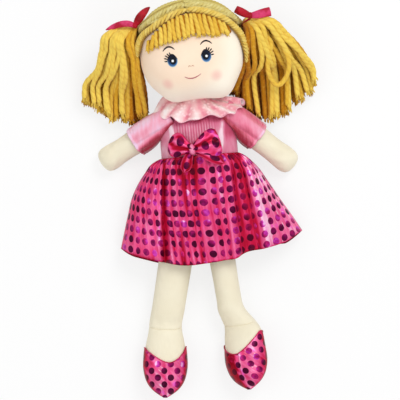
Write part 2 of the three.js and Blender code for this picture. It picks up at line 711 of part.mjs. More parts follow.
// Collar: a fluted ruffle round the neck, lying down over chest and back
const collar = place(doll, 'collar', headSide, 0, torsoMiddle);
const collarBack = torsoMiddle - gap;

function collarSurface(u, v) {
  const angle = -2 * Math.PI * u;
  const deep = Math.abs(Math.sin(angle)) ** 1.4;
  const level = collarLevel - v ** 0.7 * mix(collarSideDrop, collarFrontDrop, deep);
  const flute = fluteDepth * v * Math.cos(collarFlutes * angle);
  const across = mix(collarInner, collarHalfWidth, v) + flute * (1 - deep);
  const depth = mix(collarInner - 2, collarHalfDepth, v) + flute * deep;
  const y = level + 0.3 * flute * (1 - deep);
  return vec(across * Math.cos(angle), y, Math.max(-collarBack, depth * Math.sin(angle)));
}
const ruffle = clothOn(collarSurface, dressCloth, 4 * collarFlutes, 3, true);
addPiece(collar, 'collar_ruffle', ruffle, palePink);

// Skirt: front and back panels gathered at the waist, falling in folds to a curved hem
const waistSection = sectionAt(torsoSections, waistLevel);
const waistHalfWidth = waistSection.y + bodiceEase + dressCloth;
const waistHalfDepth = waistSection.z + bodiceEase + dressCloth;
const swingLift = waistHalfWidth * Math.sin(radians(skirtSwing));
const skirt = place(doll, 'skirt', 0, waistLevel - 2 * gap - swingLift, 0);
skirt.rotation.z = radians(skirtSwing);

function skirtSurface(angle, v) {
  const sine = Math.sin(angle);
  const flare = v ** 0.65;
  const gathered = mix(0.25, 1, Math.min(1, 3 * v)) * (sine > 0 ? foldDepth : 0.35 * foldDepth);
  const fold = v > 0 ? gathered * mix(0.5, 1, v) * Math.cos(skirtFolds * angle) : 0;
  const seamHeight = mix(torsoMiddle, skirtSideHeight, flare);
  const front = mix(waistHalfDepth, skirtHemHeight - skirtSideHeight, flare);
  const back = mix(waistHalfDepth, 1.1 * skirtSideHeight, flare);
  const height = sine > 0 ? front * sine ** 0.9 : -back * Math.abs(sine) ** 0.6;
  const half = mix(waistHalfWidth, skirtHemHalfWidth, flare) + fold * Math.abs(Math.cos(angle));
  const puff = skirtPuff * Math.sin(Math.PI * v ** 0.6) * Math.max(0, -Math.cos(angle));
  const x = half * Math.cos(angle) - puff;
  const y = -v * mix(skirtSideDrop, skirtFrontDrop, sine * sine);
  return vec(x, y, Math.max(0, seamHeight + height + fold * sine));
}
const seamAngle = gap / waistHalfWidth;
const skirtFront = (u, v) => skirtSurface(mix(Math.PI - seamAngle, seamAngle, u), v);
const skirtBack = (u, v) => skirtSurface(mix(2 * Math.PI - seamAngle, Math.PI + seamAngle, u), v);
addPiece(skirt, 'skirt_front', clothOn(skirtFront, dressCloth, 36, 8), foilPink);
addPiece(skirt, 'skirt_back', clothOn(skirtBack, dressCloth, 20, 7), foilPink);

// Waist bow: two puffed loops, a knot and two tails
const bowZ = torsoMiddle + waistHalfDepth + bowRise + gap + bowLoopHalfDepth;
const bow = place(doll, 'bow', bowSide, bowLevel, bowZ);
const knotSection = sectionAt(torsoSections, bowLevel);
const knotAside = bowSide / (knotSection.y + bodiceEase + dressCloth);
const knotSeat = (knotSection.z + bodiceEase + dressCloth) * Math.sqrt(1 - knotAside ** 2);
const bowKnotHalfDepth = bowZ - torsoMiddle - knotSeat - gap;
const loopStations = [
  [bowKnotHalf + gap, 0.3 * bowLoopHalfHeight, 0.5 * bowLoopHalfDepth],
  [0.35 * bowLoopLength, 0.55 * bowLoopHalfHeight, 0.75 * bowLoopHalfDepth],
  [0.65 * bowLoopLength, bowLoopHalfHeight, bowLoopHalfDepth],
  [0.9 * bowLoopLength, 0.96 * bowLoopHalfHeight, 0.8 * bowLoopHalfDepth],
  [bowLoopLength, 0.7 * bowLoopHalfHeight, 0.3 * bowLoopHalfDepth],
];
const bowKnot = new THREE.SphereGeometry(1, 10, 6);
bowKnot.scale(0.95 * bowKnotHalf, 0.85 * bowKnotHalf, bowKnotHalfDepth);
addPiece(bow, 'bow_knot', bowKnot, palePink);
for (const [name, tilt, turn] of [['left', 8, 90], ['right', -18, -90]]) {
  const loop = new THREE.Group();
  loop.rotation.z = radians(turn + tilt);
  bow.add(loop);
  addPiece(loop, `bow_${name}_loop`, stuffed(loopStations, 7, 12), foilPink);
}

function addTail(name, heading, length) {
  const tail = new THREE.Group();
  tail.position.z = 2 * dressCloth - bowLoopHalfDepth;
  tail.rotation.z = radians(heading);
  bow.add(tail);
  const surface = (u, v) => {
    const half = bowTailWidth * mix(0.18, 0.5, Math.min(1, 1.6 * v));
    const along = mix(0.85 * bowKnotHalf + gap, length, v) + 3 * Math.abs(u - 0.5) * v;
    return vec((u - 0.5) * 2 * half, -along, 1.2 * Math.sin(2 * Math.PI * v));
  };
  addPiece(tail, `bow_${name}_tail`, clothOn(surface, dressCloth, 4, 5), foilPink);
}

addTail('right', -22, bowShortTail);
addTail('left', 36, bowLongTail);

export default doll;
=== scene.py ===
import math
import bpy
import numpy as np
from mathutils import Matrix, Vector


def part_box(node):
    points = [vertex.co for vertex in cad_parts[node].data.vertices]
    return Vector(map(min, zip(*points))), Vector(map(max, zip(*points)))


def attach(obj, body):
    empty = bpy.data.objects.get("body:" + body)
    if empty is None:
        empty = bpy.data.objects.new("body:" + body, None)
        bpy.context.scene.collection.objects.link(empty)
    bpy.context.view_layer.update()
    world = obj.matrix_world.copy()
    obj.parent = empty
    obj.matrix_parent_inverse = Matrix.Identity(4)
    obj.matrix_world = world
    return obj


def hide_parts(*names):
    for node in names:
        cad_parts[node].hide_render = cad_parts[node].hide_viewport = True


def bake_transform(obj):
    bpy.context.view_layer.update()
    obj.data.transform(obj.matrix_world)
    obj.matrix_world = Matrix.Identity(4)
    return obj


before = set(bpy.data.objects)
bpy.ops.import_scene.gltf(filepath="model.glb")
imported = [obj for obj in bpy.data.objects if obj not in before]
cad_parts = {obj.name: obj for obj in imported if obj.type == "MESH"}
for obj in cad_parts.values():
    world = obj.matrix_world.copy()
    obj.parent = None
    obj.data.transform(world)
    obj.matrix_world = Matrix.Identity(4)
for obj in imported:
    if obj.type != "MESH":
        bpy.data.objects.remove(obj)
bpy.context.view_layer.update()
rng = np.random.default_rng(7)
mm = 0.001  # shapes are worked out in millimetres
upward = np.array([0.0, 0.0, 1.0])

# the camera looks straight down on the lying doll, turned as the photograph is
camera = {"over": (-3.7, -59.9), "height": 2500, "turn": -5.0, "lens": 221}
cameraData = bpy.data.cameras.new("camera")
cameraData.lens = camera["lens"]
cameraData.sensor_width = 36
cameraData.clip_end = 50
cameraObject = bpy.data.objects.new("camera", cameraData)
cameraObject.location = (camera["over"][0] * mm, camera["over"][1] * mm, camera["height"] * mm)
cameraObject.rotation_euler = (0, 0, math.radians(camera["turn"]))
bpy.context.scene.collection.objects.link(cameraObject)
bpy.context.scene.camera = cameraObject
bpy.context.scene.view_settings.view_transform = "Standard"
print("camera done")


# numbers
# part t of the way from a to b
def mix(a, b, t):
    return a + (b - a) * t


# 3t2 - 2t3 of the way from low to high
def smooth(low, high, x):
    t = np.clip((x - low) / (high - low), 0, 1)
    return t * t * (3 - 2 * t)


# bell of height 1 about the middle
def bell(x, middle, width):
    return np.exp(-(((x - middle) / width) ** 2))


# each vector at length 1
def unit(v):
    return v / np.maximum(np.linalg.norm(v, axis=-1, keepdims=True), 1e-9)


# cubic pieces through rows of (place, values), each slope taken from the neighbours
def through(rows, place):
    rows = np.asarray(rows, float)
    place = np.asarray(place, float)
    at, value = rows[:, 0], rows[:, 1:]
    slope = np.gradient(value, at, axis=0)
    i = np.clip(np.searchsorted(at, place, side="right") - 1, 0, len(at) - 2)
    span = (at[i + 1] - at[i])[..., None]
    t = np.clip((place - at[i])[..., None] / span, 0, 1)
    ends = value[i] * (1 + 2 * t) * (1 - t) ** 2 + value[i + 1] * t * t * (3 - 2 * t)
    return ends + span * t * (1 - t) * (slope[i] * (1 - t) - slope[i + 1] * t)


# turn about Y first, then X, then Z, in degrees
def turned(z, x=0.0, y=0.0):
    parts = [Matrix.Rotation(math.radians(a), 3, k) for a, k in ((z, "Z"), (x, "X"), (y, "Y"))]
    return np.array(parts[0] @ parts[1] @ parts[2])


# meshes
# angles of one full turn
def fullTurn(count):
    return np.linspace(0, 2 * np.pi, count, endpoint=False)


# the first column once more after the last
def closedRound(columns):
    return np.concatenate([columns, columns[:, :1]], axis=1)


# an even map: u runs across the columns, v down the rows
def evenUv(across, cols, down, rows):
    return np.stack(np.meshgrid(np.linspace(*across, cols), np.linspace(*down, rows)), axis=-1)


# the four corners of every cell of a grid
def cellCorners(grid):
    return np.stack([grid[:-1, :-1], grid[:-1, 1:], grid[1:, 1:], grid[1:, :-1]], axis=2)


# point numbers of every cell, closed round where asked
def gridQuads(rows, cols, wrapCols=False, wrapRows=False):
    index = np.arange(rows * cols).reshape(rows, cols)
    if wrapCols:
        index = closedRound(index)
    if wrapRows:
        index = np.concatenate([index, index[:1]], axis=0)
    return cellCorners(index).reshape(-1, 4)


# the map at each corner of each cell
def cornerUv(uv):
    return cellCorners(uv).reshape(-1, 2)


# a closed skin: where its signed volume is negative every face is turned round
def solid(name, points, quads, caps, material, uv=None, tone=None, fold=None):
    a, b, c, d = (points[quads[:, k]] for k in range(4))
    volume = (a * np.cross(b, c)).sum() + (a * np.cross(c, d)).sum()
    for cap in caps:
        p = points[np.asarray(cap)]
        volume += (p[:1] * np.cross(p[1:-1], p[2:])).sum()
    if uv is None:
        uv = np.zeros((quads.size, 2))
    if volume < 0:
        quads = quads[:, ::-1]
        uv = uv.reshape(-1, 4, 2)[:, ::-1].reshape(-1, 2)
        caps = [cap[::-1] for cap in caps]
    faces = quads.tolist() + [list(cap) for cap in caps]
    uv = np.concatenate([uv, np.zeros((sum(len(cap) for cap in caps), 2))])
    mesh = bpy.data.meshes.new(name)
    mesh.from_pydata((points * mm).tolist(), [], faces)
    mesh.polygons.foreach_set("use_smooth", np.ones(len(faces), bool))
    mesh.uv_layers.new(name="UVMap").data.foreach_set("uv", uv.astype(np.float32).ravel())
    for key, values in (("tone", tone), ("fold", fold)):
        if values is not None:
            layer = mesh.attributes.new(key, "FLOAT", "POINT")
            layer.data.foreach_set("value", values.astype(np.float32).ravel())
    mesh.materials.append(material)
    piece = bpy.data.objects.new(name, mesh)
    bpy.context.scene.collection.objects.link(piece)
    return piece


# rings of points one after another, with a flat face over each end
def ringBody(name, grid, material, uv=None, tone=None, fold=None):
    rows, cols = grid.shape[:2]
    caps = [list(range(cols))[::-1], list(range((rows - 1) * cols, rows * cols))]
    corners = None if uv is None else cornerUv(uv)
    quads = gridQuads(rows, cols, True)
    return solid(name, grid.reshape(-1, 3), quads, caps, material, corners, tone, fold)


plainLight = 0.6  # painted light of cloth that has no folds of its own


# cloth: the outer grid, the same grid moved in along its normals, and strips round the edges;
# tone is 1 on the wrong side; painted light and shade run from 0 in a shaded valley to 1 on a lit ridge
def clothPiece(name, grid, thickness, material, uv, wrapped=False, inward=1, fold=None):
    rows, cols = grid.shape[:2]
    along = np.gradient(grid, axis=0)
    across = np.gradient(grid, axis=1)
    if wrapped:
        across = np.roll(grid, -1, 1) - np.roll(grid, 1, 1)
    normal = unit(np.cross(across, along)) * inward
    inner = grid - thickness * normal
    points = np.concatenate([grid.reshape(-1, 3), inner.reshape(-1, 3)])
    under = rows * cols
    outer = gridQuads(rows, cols, wrapped)
    index = np.arange(under).reshape(rows, cols)
    if wrapped:
        index = closedRound(index)
    edges = [(index[0], uv[0]), (index[-1][::-1], uv[-1][::-1])]
    if not wrapped:
        edges += [(index[:, -1], uv[:, -1]), (index[:, 0][::-1], uv[:, 0][::-1])]
    quads = [outer, outer[:, ::-1] + under]
    flat = cornerUv(uv)
    corners = [flat, flat.reshape(-1, 4, 2)[:, ::-1].reshape(-1, 2)]
    for spots, uvs in edges:
        a, b = spots[:-1], spots[1:]
        quads.append(np.stack([b, a, a + under, b + under], axis=-1))
        corners.append(np.stack([uvs[1:], uvs[:-1], uvs[:-1], uvs[1:]], axis=1).reshape(-1, 2))
    tone = np.repeat([0.0, 1.0], under)
    level = np.full(under, plainLight) if fold is None else fold.ravel()
    corners = np.concatenate(corners)
    return solid(name, points, np.concatenate(quads), [], material, corners, tone, np.tile(level, 2))


# length of one twist, and depth of the groove between the plies as a share of the radius
twist = {"floss": (1.6, 0.08), "crown": (7.0, 0.12), "rope": (9.0, 0.06), "fringe": (13.0, 0.06),
         "pigtail": (15.0, 0.06), "fluff": (9.0, 0.0), "stitch": (2.8, 0.3), "slipperEdge": (4.0, 0.06),
         "collarEdge": (3.5, 0.1), "bowEdge": (3.0, 0.1)}
plies = 2


# twisted yarn round each path: rings whose radius swells once for each ply, rounded at both ends
def yarnPiece(name, paths, radius, material, outward, kind, sides=8, tone=None):
    pitch, groove = twist[kind]
    count, steps = paths.shape[:2]
    tangent = unit(np.gradient(paths, axis=1))
    side = unit(np.cross(tangent, outward))
    up = np.cross(side, tangent)
    lengths = np.linalg.norm(np.diff(paths, axis=1), axis=2)
    gone = np.concatenate([np.zeros((count, 1)), np.cumsum(lengths, axis=1)], axis=1)
    nearEnd = np.minimum(gone, gone[:, -1:] - gone)
    size = radius * np.sqrt(1 - (1 - np.clip(nearEnd / radius, 0.06, 1)) ** 2)
    angle = 2 * np.pi * np.arange(sides) / sides
    swell = 1 + groove * np.cos(plies * (angle - 2 * np.pi * gone[..., None] / pitch))
    ring = np.cos(angle)[:, None] * side[:, :, None] + np.sin(angle)[:, None] * up[:, :, None]
    points = paths[:, :, None] + (size[..., None] * swell)[..., None] * ring
    firsts = np.arange(count) * steps * sides
    quads = (gridQuads(steps, sides, True)[None] + firsts[:, None, None]).reshape(-1, 4)
    around = np.broadcast_to(np.arange(sides + 1) / sides, (count, steps, sides + 1))
    uv = np.stack([around, np.broadcast_to(gone[..., None] / pitch, around.shape)], axis=-1)
    cells = [uv[:, :-1, :-1], uv[:, :-1, 1:], uv[:, 1:, 1:], uv[:, 1:, :-1]]
    corners = np.stack(cells, axis=3).reshape(-1, 2)
    starts = (firsts[:, None] + np.arange(sides)[::-1]).tolist()
    ends = (firsts[:, None] + (steps - 1) * sides + np.arange(sides)).tolist()
    shade = rng.random(count) if tone is None else tone
    return solid(name, points.reshape(-1, 3), quads, starts + ends, material, corners,
                 np.repeat(shade, steps * sides))


# half the cross product of the two diagonals of each cell, summed
def clothArea(grid):
    a, b = grid[1:, 1:] - grid[:-1, :-1], grid[1:, :-1] - grid[:-1, 1:]
    return np.linalg.norm(np.cross(a, b), axis=-1).sum() / 2


# sum of the straight steps from point to point
def pathLength(points):
    return np.linalg.norm(np.diff(points, axis=0), axis=1).sum()


# smooth cubic path with four control points, one row of controls for each strand
def bezier(a, b, c, d, steps):
    t = np.linspace(0, 1, steps)[None, :, None]
    a, b, c, d = (np.asarray(p, float)[:, None] for p in (a, b, c, d))
    return a * (1 - t) ** 3 + 3 * b * t * (1 - t) ** 2 + 3 * c * t * t * (1 - t) + d * t ** 3


# shading
# a screen colour from 0 to 255 as linear light
def srgb(r, g, b):
    c = np.array([r, g, b]) / 255
    linear = np.where(c <= 0.04045, c / 12.92, ((c + 0.055) / 1.055) ** 2.4)
    return (*linear.tolist(), 1.0)


# a socket with arithmetic: an operator adds the Math node that does it
class Wire:
    def __init__(self, tree, socket=None):
        self.tree = tree
        self.socket = socket

    # any node: its settings first, then the values or links of its sockets
    def node(self, kind, settings=None, inputs=None, out=0):
        made = self.tree.nodes.new(kind)
        for key, value in (settings or {}).items():
            if key == "stops":
                for extra in value[2:]:
                    made.color_ramp.elements.new(extra[0])
                for stop, (place, colour) in zip(made.color_ramp.elements, value):
                    stop.position = place
                    stop.color = colour
            else:
                setattr(made, key, value)
        for key, value in (inputs or {}).items():
            if isinstance(value, Wire):
                self.tree.links.new(value.socket, made.inputs[key])
            else:
                made.inputs[key].default_value = value
        return Wire(self.tree, made.outputs[out])

    def math(self, operation, *values):
        return self.node("ShaderNodeMath", {"operation": operation}, dict(enumerate(values)))

    # an operation on this value itself
    def then(self, operation, *more):
        return self.math(operation, self, *more)

    def __add__(self, other):
        return self.math("ADD", self, other)

    def __radd__(self, other):
        return self.math("ADD", other, self)

    def __sub__(self, other):
        return self.math("SUBTRACT", self, other)

    def __rsub__(self, other):
        return self.math("SUBTRACT", other, self)

    def __mul__(self, other):
        return self.math("MULTIPLY", self, other)

    def __rmul__(self, other):
        return self.math("MULTIPLY", other, self)

    def __truediv__(self, other):
        return self.math("DIVIDE", self, other)

    def __pow__(self, other):
        return self.math("POWER", self, other)

    # 0 up to low, 1 from high, smooth between
    def between(self, low, high):
        inputs = {"Value": self, "From Min": low, "From Max": high}
        return self.node("ShaderNodeMapRange", {"interpolation_type": "SMOOTHSTEP"}, inputs)

    # colour a where this is 0, b where it is 1
    def tint(self, a, b):
        return self.node("ShaderNodeMix", {"data_type": "RGBA"}, {0: self, 6: a, 7: b}, 2)

    def parts(self):
        return [self.node("ShaderNodeSeparateXYZ", None, {0: self}, k) for k in ("X", "Y", "Z")]

    def noise(self, scale, detail=2.0, rough=0.5):
        inputs = {"Vector": self, "Scale": scale, "Detail": detail, "Roughness": rough}
        return self.node("ShaderNodeTexNoise", None, inputs)

    def scaled(self, *scale):
        return self.node("ShaderNodeMapping", None, {"Vector": self, "Scale": scale})


# a material with its shader's fixed sockets set, a starting wire, and a way to feed the varying ones
class Finish:
    def __init__(self, name, **fixed):
        self.material = bpy.data.materials.new(name)
        self.material.use_nodes = True
        self.tree = self.material.node_tree
        self.shader = self.tree.nodes["Principled BSDF"]
        for key, value in fixed.items():
            self.shader.inputs[key.replace("_", " ")].default_value = value
        start = Wire(self.tree)
        self.place = start.node("ShaderNodeTexCoord", None, None, "Object")
        self.uv = start.node("ShaderNodeTexCoord", None, None, "UV")
        self.start = start

    # an attribute of the mesh
    def value(self, name):
        return self.start.node("ShaderNodeAttribute", {"attribute_name": name}, None, "Fac")

    def ramp(self, factor, *stops):
        return self.start.node("ShaderNodeValToRGB", {"stops": list(stops)}, {0: factor})

    def feed(self, **wires):
        for key, wire in wires.items():
            self.tree.links.new(wire.socket, self.shader.inputs[key.replace("_", " ")])

    def bump(self, height, depth, strength=1.0):
        inputs = {"Strength": strength, "Distance": depth * mm, "Height": height}
        self.feed(Normal=self.start.node("ShaderNodeBump", None, inputs, "Normal"))


# cloth weave height: two crossing ripples of one thread's width
def weave(finish, thread):
    x, y, z = finish.place.parts()
    turn = 2 * math.pi / (thread * mm)
    first = ((x + 0.35 * z) * turn).then("SINE")
    second = ((y + 0.3 * z) * turn).then("SINE")
    return first * second


# head, needed by the face's blush and all hair
headShape = {"half": np.array([52.0, 51.0, 37.5]), "chin": 46.4, "power": 2.3, "tilt": 4.5,
             "cheeks": ((0.13, -1.05, 0.28), (0.07, -2.1, 0.22))}
faceLow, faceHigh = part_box("face_panel")
backLow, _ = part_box("head_back_panel")
headShape["centre"] = np.array([(faceLow[0] + faceHigh[0]) / 2, (faceLow[1] + faceHigh[1]) / 2,
                                (backLow[2] + faceHigh[2]) / 2]) / mm
headTurn = turned(headShape["tilt"])


# from the head's own axes to the doll's
def inHead(local):
    return local @ headTurn.T + headShape["centre"]


# where a ray from the middle of the head meets it, moved out by lift; the chin is nearer than the crown
def onHead(direction, lift=0.0):
    d = unit(np.asarray(direction, float))
    tall = np.where(d[..., 1] < 0, headShape["chin"], headShape["half"][1])
    wide, deep = headShape["half"][0], headShape["half"][2]
    reach = np.stack([d[..., 0] / wide, d[..., 1] / tall, d[..., 2] / deep], axis=-1)
    size = (np.abs(reach) ** headShape["power"]).sum(-1, keepdims=True)
    # the edge of both cheeks is a little fuller: share, angle about the face and width of each
    angle = np.arctan2(d[..., 1], d[..., 0])
    fuller = sum(share * bell(angle, at, width) for share, at, width in headShape["cheeks"])
    fuller = fuller * (1 - d[..., 2] ** 2) ** 4
    return d * (size ** (-1 / headShape["power"]) * (1 + fuller[..., None]) + lift)


# the point over (x, y) of the face, moved forward by lift
def onFace(x, y, lift=0.0):
    wide, high, deep = headShape["half"]
    power = headShape["power"]
    tall = np.where(y < 0, headShape["chin"], high)
    inside = 1 - np.abs(x / wide) ** power - np.abs(y / tall) ** power
    z = deep * np.maximum(inside, 0) ** (1 / power)
    return np.stack([x, y, z + lift], axis=-1)


# materials
blushSpots = ((-28.4, -28.2), (20.5, -27.6))


# skin of the head: painted light makes it paler towards its edge, with a blush round both spots
def makeFaceCloth():
    finish = Finish("faceCloth", Roughness=0.85, Sheen_Weight=0.15)
    blush = None
    for x, y in blushSpots:
        spot = inHead(onFace(np.array(x), np.array(y))) * mm
        away = finish.start.node("ShaderNodeVectorMath", {"operation": "DISTANCE"},
                                 {0: finish.place, 1: tuple(spot)}, "Value")
        mask = 1 - away.between(0.001, 0.0085)
        blush = mask if blush is None else blush + mask
    mottled = finish.place.noise(55.0, 3.0)
    # painted light: the cloth is paler towards its edge, more so on the left, where the rim would lie in
    # shade
    middle = headShape["centre"] * mm
    x, y, _ = finish.place.parts()
    aside, up = (x - middle[0] + 0.012) / 0.058, (y - middle[1]) / 0.048
    pale = (aside * aside + up * up).between(0.25, 1.05)
    cloth = pale.tint(mottled.tint(srgb(248, 219, 193), srgb(253, 231, 206)), srgb(255, 246, 229))
    finish.feed(Base_Color=(blush * 0.5).tint(cloth, srgb(238, 168, 160)))
    nap = finish.place.noise(1500.0, 2.0) + 0.4 * weave(finish, 0.7)
    finish.bump(nap, 0.12, 0.6)
    return finish.material


# plain cloth of torso and limbs
def makeBodyCloth():
    finish = Finish("bodyCloth", Roughness=0.88, Sheen_Weight=0.15)
    mottled = finish.place.noise(45.0, 3.0)
    finish.feed(Base_Color=mottled.tint(srgb(234, 224, 196), srgb(246, 239, 216)))
    nap = finish.place.noise(1500.0, 2.0) + 0.5 * weave(finish, 0.8)
    finish.bump(nap, 0.14, 0.7)
    return finish.material


# yarn: each strand its own tone, painted shade in brown on the sides that its neighbours shade and in the
# grooves between the plies, painted highlights in patches on top, fine twisted fibres
def makeYarn(name, *colours):
    light, mid, dark, inShade = (srgb(*colour) for colour in colours)
    finish = Finish(name, Roughness=0.9, Specular_IOR_Level=0.2, Sheen_Weight=0.08)
    u, v, _ = finish.uv.parts()
    ply = 0.5 + 0.5 * ((u - v) * (4 * math.pi)).then("COSINE")
    up = (u * (2 * math.pi)).then("SINE")
    body = finish.ramp(finish.value("tone"), (0.0, inShade), (0.3, dark), (0.62, mid), (1.0, light))
    shaded = (0.75 * (1 - up.between(-0.55, 0.62))).tint(body, inShade)
    # painted shade in the grooves between the plies, and a painted highlight in patches on the top of each
    # strand
    groove = 1 - ply.between(0.0, 0.5)
    highlightPatches = finish.place.noise(420.0, 3.0).between(0.48, 0.75)
    colour = (0.3 * highlightPatches * up.between(-0.2, 0.6)).tint((0.22 * groove).tint(shaded, dark), light)
    finish.feed(Base_Color=colour)
    fibres = finish.uv.scaled(14.0, 1.2, 1.0).noise(3.0, 3.0, 0.7)
    finish.bump(fibres + 0.3 * ply, 0.45, 0.8)
    return finish.material


# foil satin printed with rows of dots; painted reflections make each dot catch the light its own way, and
# painted light and shade make it crimson in the valleys, pink on the slopes, magenta and white where the
# ridges shine
def makeDottedFoil():
    finish = Finish("dottedFoil", Specular_IOR_Level=0.1)
    u, v, _ = finish.uv.parts()
    fold, inside = finish.value("fold"), finish.value("tone")
    column, row = u.then("FLOOR"), v.then("FLOOR")
    dotRadius = 0.355  # of the distance between dots
    acrossDot = (u - column - 0.5) / dotRadius
    alongDot = (v - row - 0.5) / dotRadius
    reach = (acrossDot * acrossDot + alongDot * alongDot) ** 0.5
    dot = 1 - reach.between(0.9, 1.03)
    cell = finish.start.node("ShaderNodeCombineXYZ", None, {0: column + 0.5, 1: row + 0.5})
    pick = finish.start.node("ShaderNodeTexWhiteNoise", {"noise_dimensions": "2D"},
                             {"Vector": cell}, "Value")
    crinkle = finish.place.noise(60.0, 2.0, 0.5)
    sheen = finish.place.noise(150.0, 2.0, 0.5)
    cluster = cell.noise(0.3, 1.0, 0.5)
    # painted reflection: each dot lighter on one side and brighter on the ridges, dark red in the shaded
    # valleys
    slope = 0.1 * acrossDot - 0.1 * alongDot + 0.3 * (fold - 0.35)
    shine = pick * 0.6 + cluster - 0.4 + (sheen - 0.5) * 1.2 + slope - 0.07
    dotColour = finish.ramp(shine, (0.0, srgb(70, 2, 40)), (0.25, srgb(96, 4, 60)),
                            (0.42, srgb(136, 14, 88)), (0.56, srgb(176, 26, 100)),
                            (0.68, srgb(184, 42, 150)), (0.82, srgb(214, 70, 184)),
                            (0.96, srgb(250, 190, 234)))
    redDot = finish.ramp(shine, (0.0, srgb(92, 2, 30)), (0.5, srgb(150, 6, 44)), (0.8, srgb(212, 24, 84)))
    dotColour = fold.between(0.12, 0.42).tint(redDot, dotColour)
    gathers = finish.uv.scaled(2.6, 0.2, 1.0).noise(1.0, 2.0, 0.5)
    # painted light and shade of the ground, with a painted magenta glow and white glints on the ridges
    level = fold + crinkle * 0.5 + (gathers - 0.5) * 0.9 - 0.3
    ground = finish.ramp(level, (0.0, srgb(158, 2, 32)), (0.2, srgb(198, 20, 66)),
                         (0.36, srgb(221, 56, 111)), (0.54, srgb(231, 86, 140)),
                         (0.74, srgb(242, 120, 168)), (0.92, srgb(252, 190, 218)))
    glow = (sheen * 0.6 + crinkle * 0.4).between(0.55, 0.64) * fold.between(0.45, 0.75)
    ground = (0.75 * glow).tint(ground, srgb(250, 92, 206))
    streak = finish.uv.scaled(3.4, 0.75, 1.0).noise(1.0, 2.0, 0.5)
    glint = streak.between(0.62, 0.7) * fold.between(0.5, 0.8)
    ground = (0.85 * glint).tint(ground, srgb(255, 226, 242))
    printed = dot.tint(ground, dotColour)
    finish.feed(Base_Color=inside.tint(printed, srgb(150, 12, 44)))
    finish.feed(Roughness=0.36 - 0.08 * dot + 0.24 * inside)
    finish.feed(Metallic=0.35 - 0.35 * inside)
    finish.bump(crinkle + 0.3 * sheen, 1.0, 0.4)
    return finish.material


# satin: painted shade makes it crimson where it turns away and painted light pink on top, with a painted
# lilac highlight in places and crimson on its wrong side
def makeSatin(name, *colours):
    low, middle, high, lilacGlint = (srgb(*colour) for colour in colours)
    finish = Finish(name, Roughness=0.4, Sheen_Weight=0.2)
    broad = finish.place.noise(55.0, 2.0)
    thread = finish.place.scaled(420.0, 60.0, 60.0).noise(1.0, 2.0, 0.6)
    level = finish.value("fold") + (broad - 0.5) * 0.5 + (thread - 0.5) * 0.35
    cloth = finish.ramp(level, (0.0, low), (0.22, low), (0.5, middle), (0.78, high), (1.0, lilacGlint))
    finish.feed(Base_Color=finish.value("tone").tint(cloth, srgb(150, 14, 46)))
    finish.bump(thread + 0.4 * weave(finish, 0.6), 0.25, 0.5)
    return finish.material


# sheer stiff cloth: painted shade makes it rose where it is gathered, with painted white glints on its
# embossed veins and ridges
def makeOrganza():
    finish = Finish("paleOrganza", Roughness=0.3, Sheen_Weight=0.3)
    cells = finish.start.node("ShaderNodeTexVoronoi", {"feature": "F1"},
                              {"Vector": finish.place, "Scale": 230.0})
    vein = 1 - cells.between(0.15, 0.5)
    broad = finish.place.noise(110.0, 3.0)
    level = finish.value("fold") * 0.8 + (broad - 0.5) + 0.22
    cloth = finish.ramp(level, (0.0, srgb(226, 104, 134)), (0.28, srgb(243, 160, 176)),
                        (0.52, srgb(250, 196, 202)), (0.76, srgb(253, 220, 222)),
                        (0.95, srgb(255, 244, 244)))
    finish.feed(Base_Color=(0.4 * vein).tint(cloth, srgb(255, 236, 240)))
    finish.feed(Alpha=0.88 + 0.12 * vein)
    finish.bump(vein + broad, 0.6, 0.6)
    return finish.material


# ribbon: fine ribs across it, and two shades in broad patches
def makeRibbon(name, low, high):
    finish = Finish(name, Roughness=0.42, Specular_IOR_Level=0.2)
    _, v, _ = finish.uv.parts()
    ribs = (v * 160.0).then("SINE")
    broad = finish.place.noise(110.0, 2.0)
    finish.feed(Base_Color=broad.between(0.35, 0.65).tint(srgb(*low), srgb(*high)))
    finish.bump(ribs * 0.25 + finish.place.noise(500.0, 2.0), 0.25, 0.5)
    return finish.material


# embroidery floss: fine parallel stitches
def makeThread(name, low, high, stitch=0.45):
    finish = Finish(name, Roughness=0.75, Specular_IOR_Level=0.2)
    x, y, _ = finish.place.parts()
    wave = (x + 0.25 * y) * (2 * math.pi / (stitch * mm))
    lines = 0.5 + 0.5 * wave.then("SINE")
    finish.feed(Base_Color=lines.tint(srgb(*low), srgb(*high)))
    finish.bump(lines, 0.15, 0.6)
    return finish.material


# iris: navy above, blue in the middle, pale rim below; v of the patch runs up the eye
def makeIris():
    finish = Finish("irisThread", Roughness=0.7, Specular_IOR_Level=0.2)
    u, v, _ = finish.uv.parts()
    across, along = 2 * u - 1, 2 * v - 1
    reach = (across * across + along * along) ** 0.5
    shade = finish.ramp(v, (0.0, srgb(70, 116, 168)), (0.25, srgb(40, 84, 140)),
                        (0.5, srgb(24, 48, 92)), (0.75, srgb(14, 22, 44)))
    rim = reach.between(0.8, 0.98) * (1 - v.between(0.45, 0.8))
    finish.feed(Base_Color=rim.tint(shade, srgb(150, 190, 220)))
    finish.bump((u * 60.0).then("SINE"), 0.1, 0.5)
    return finish.material


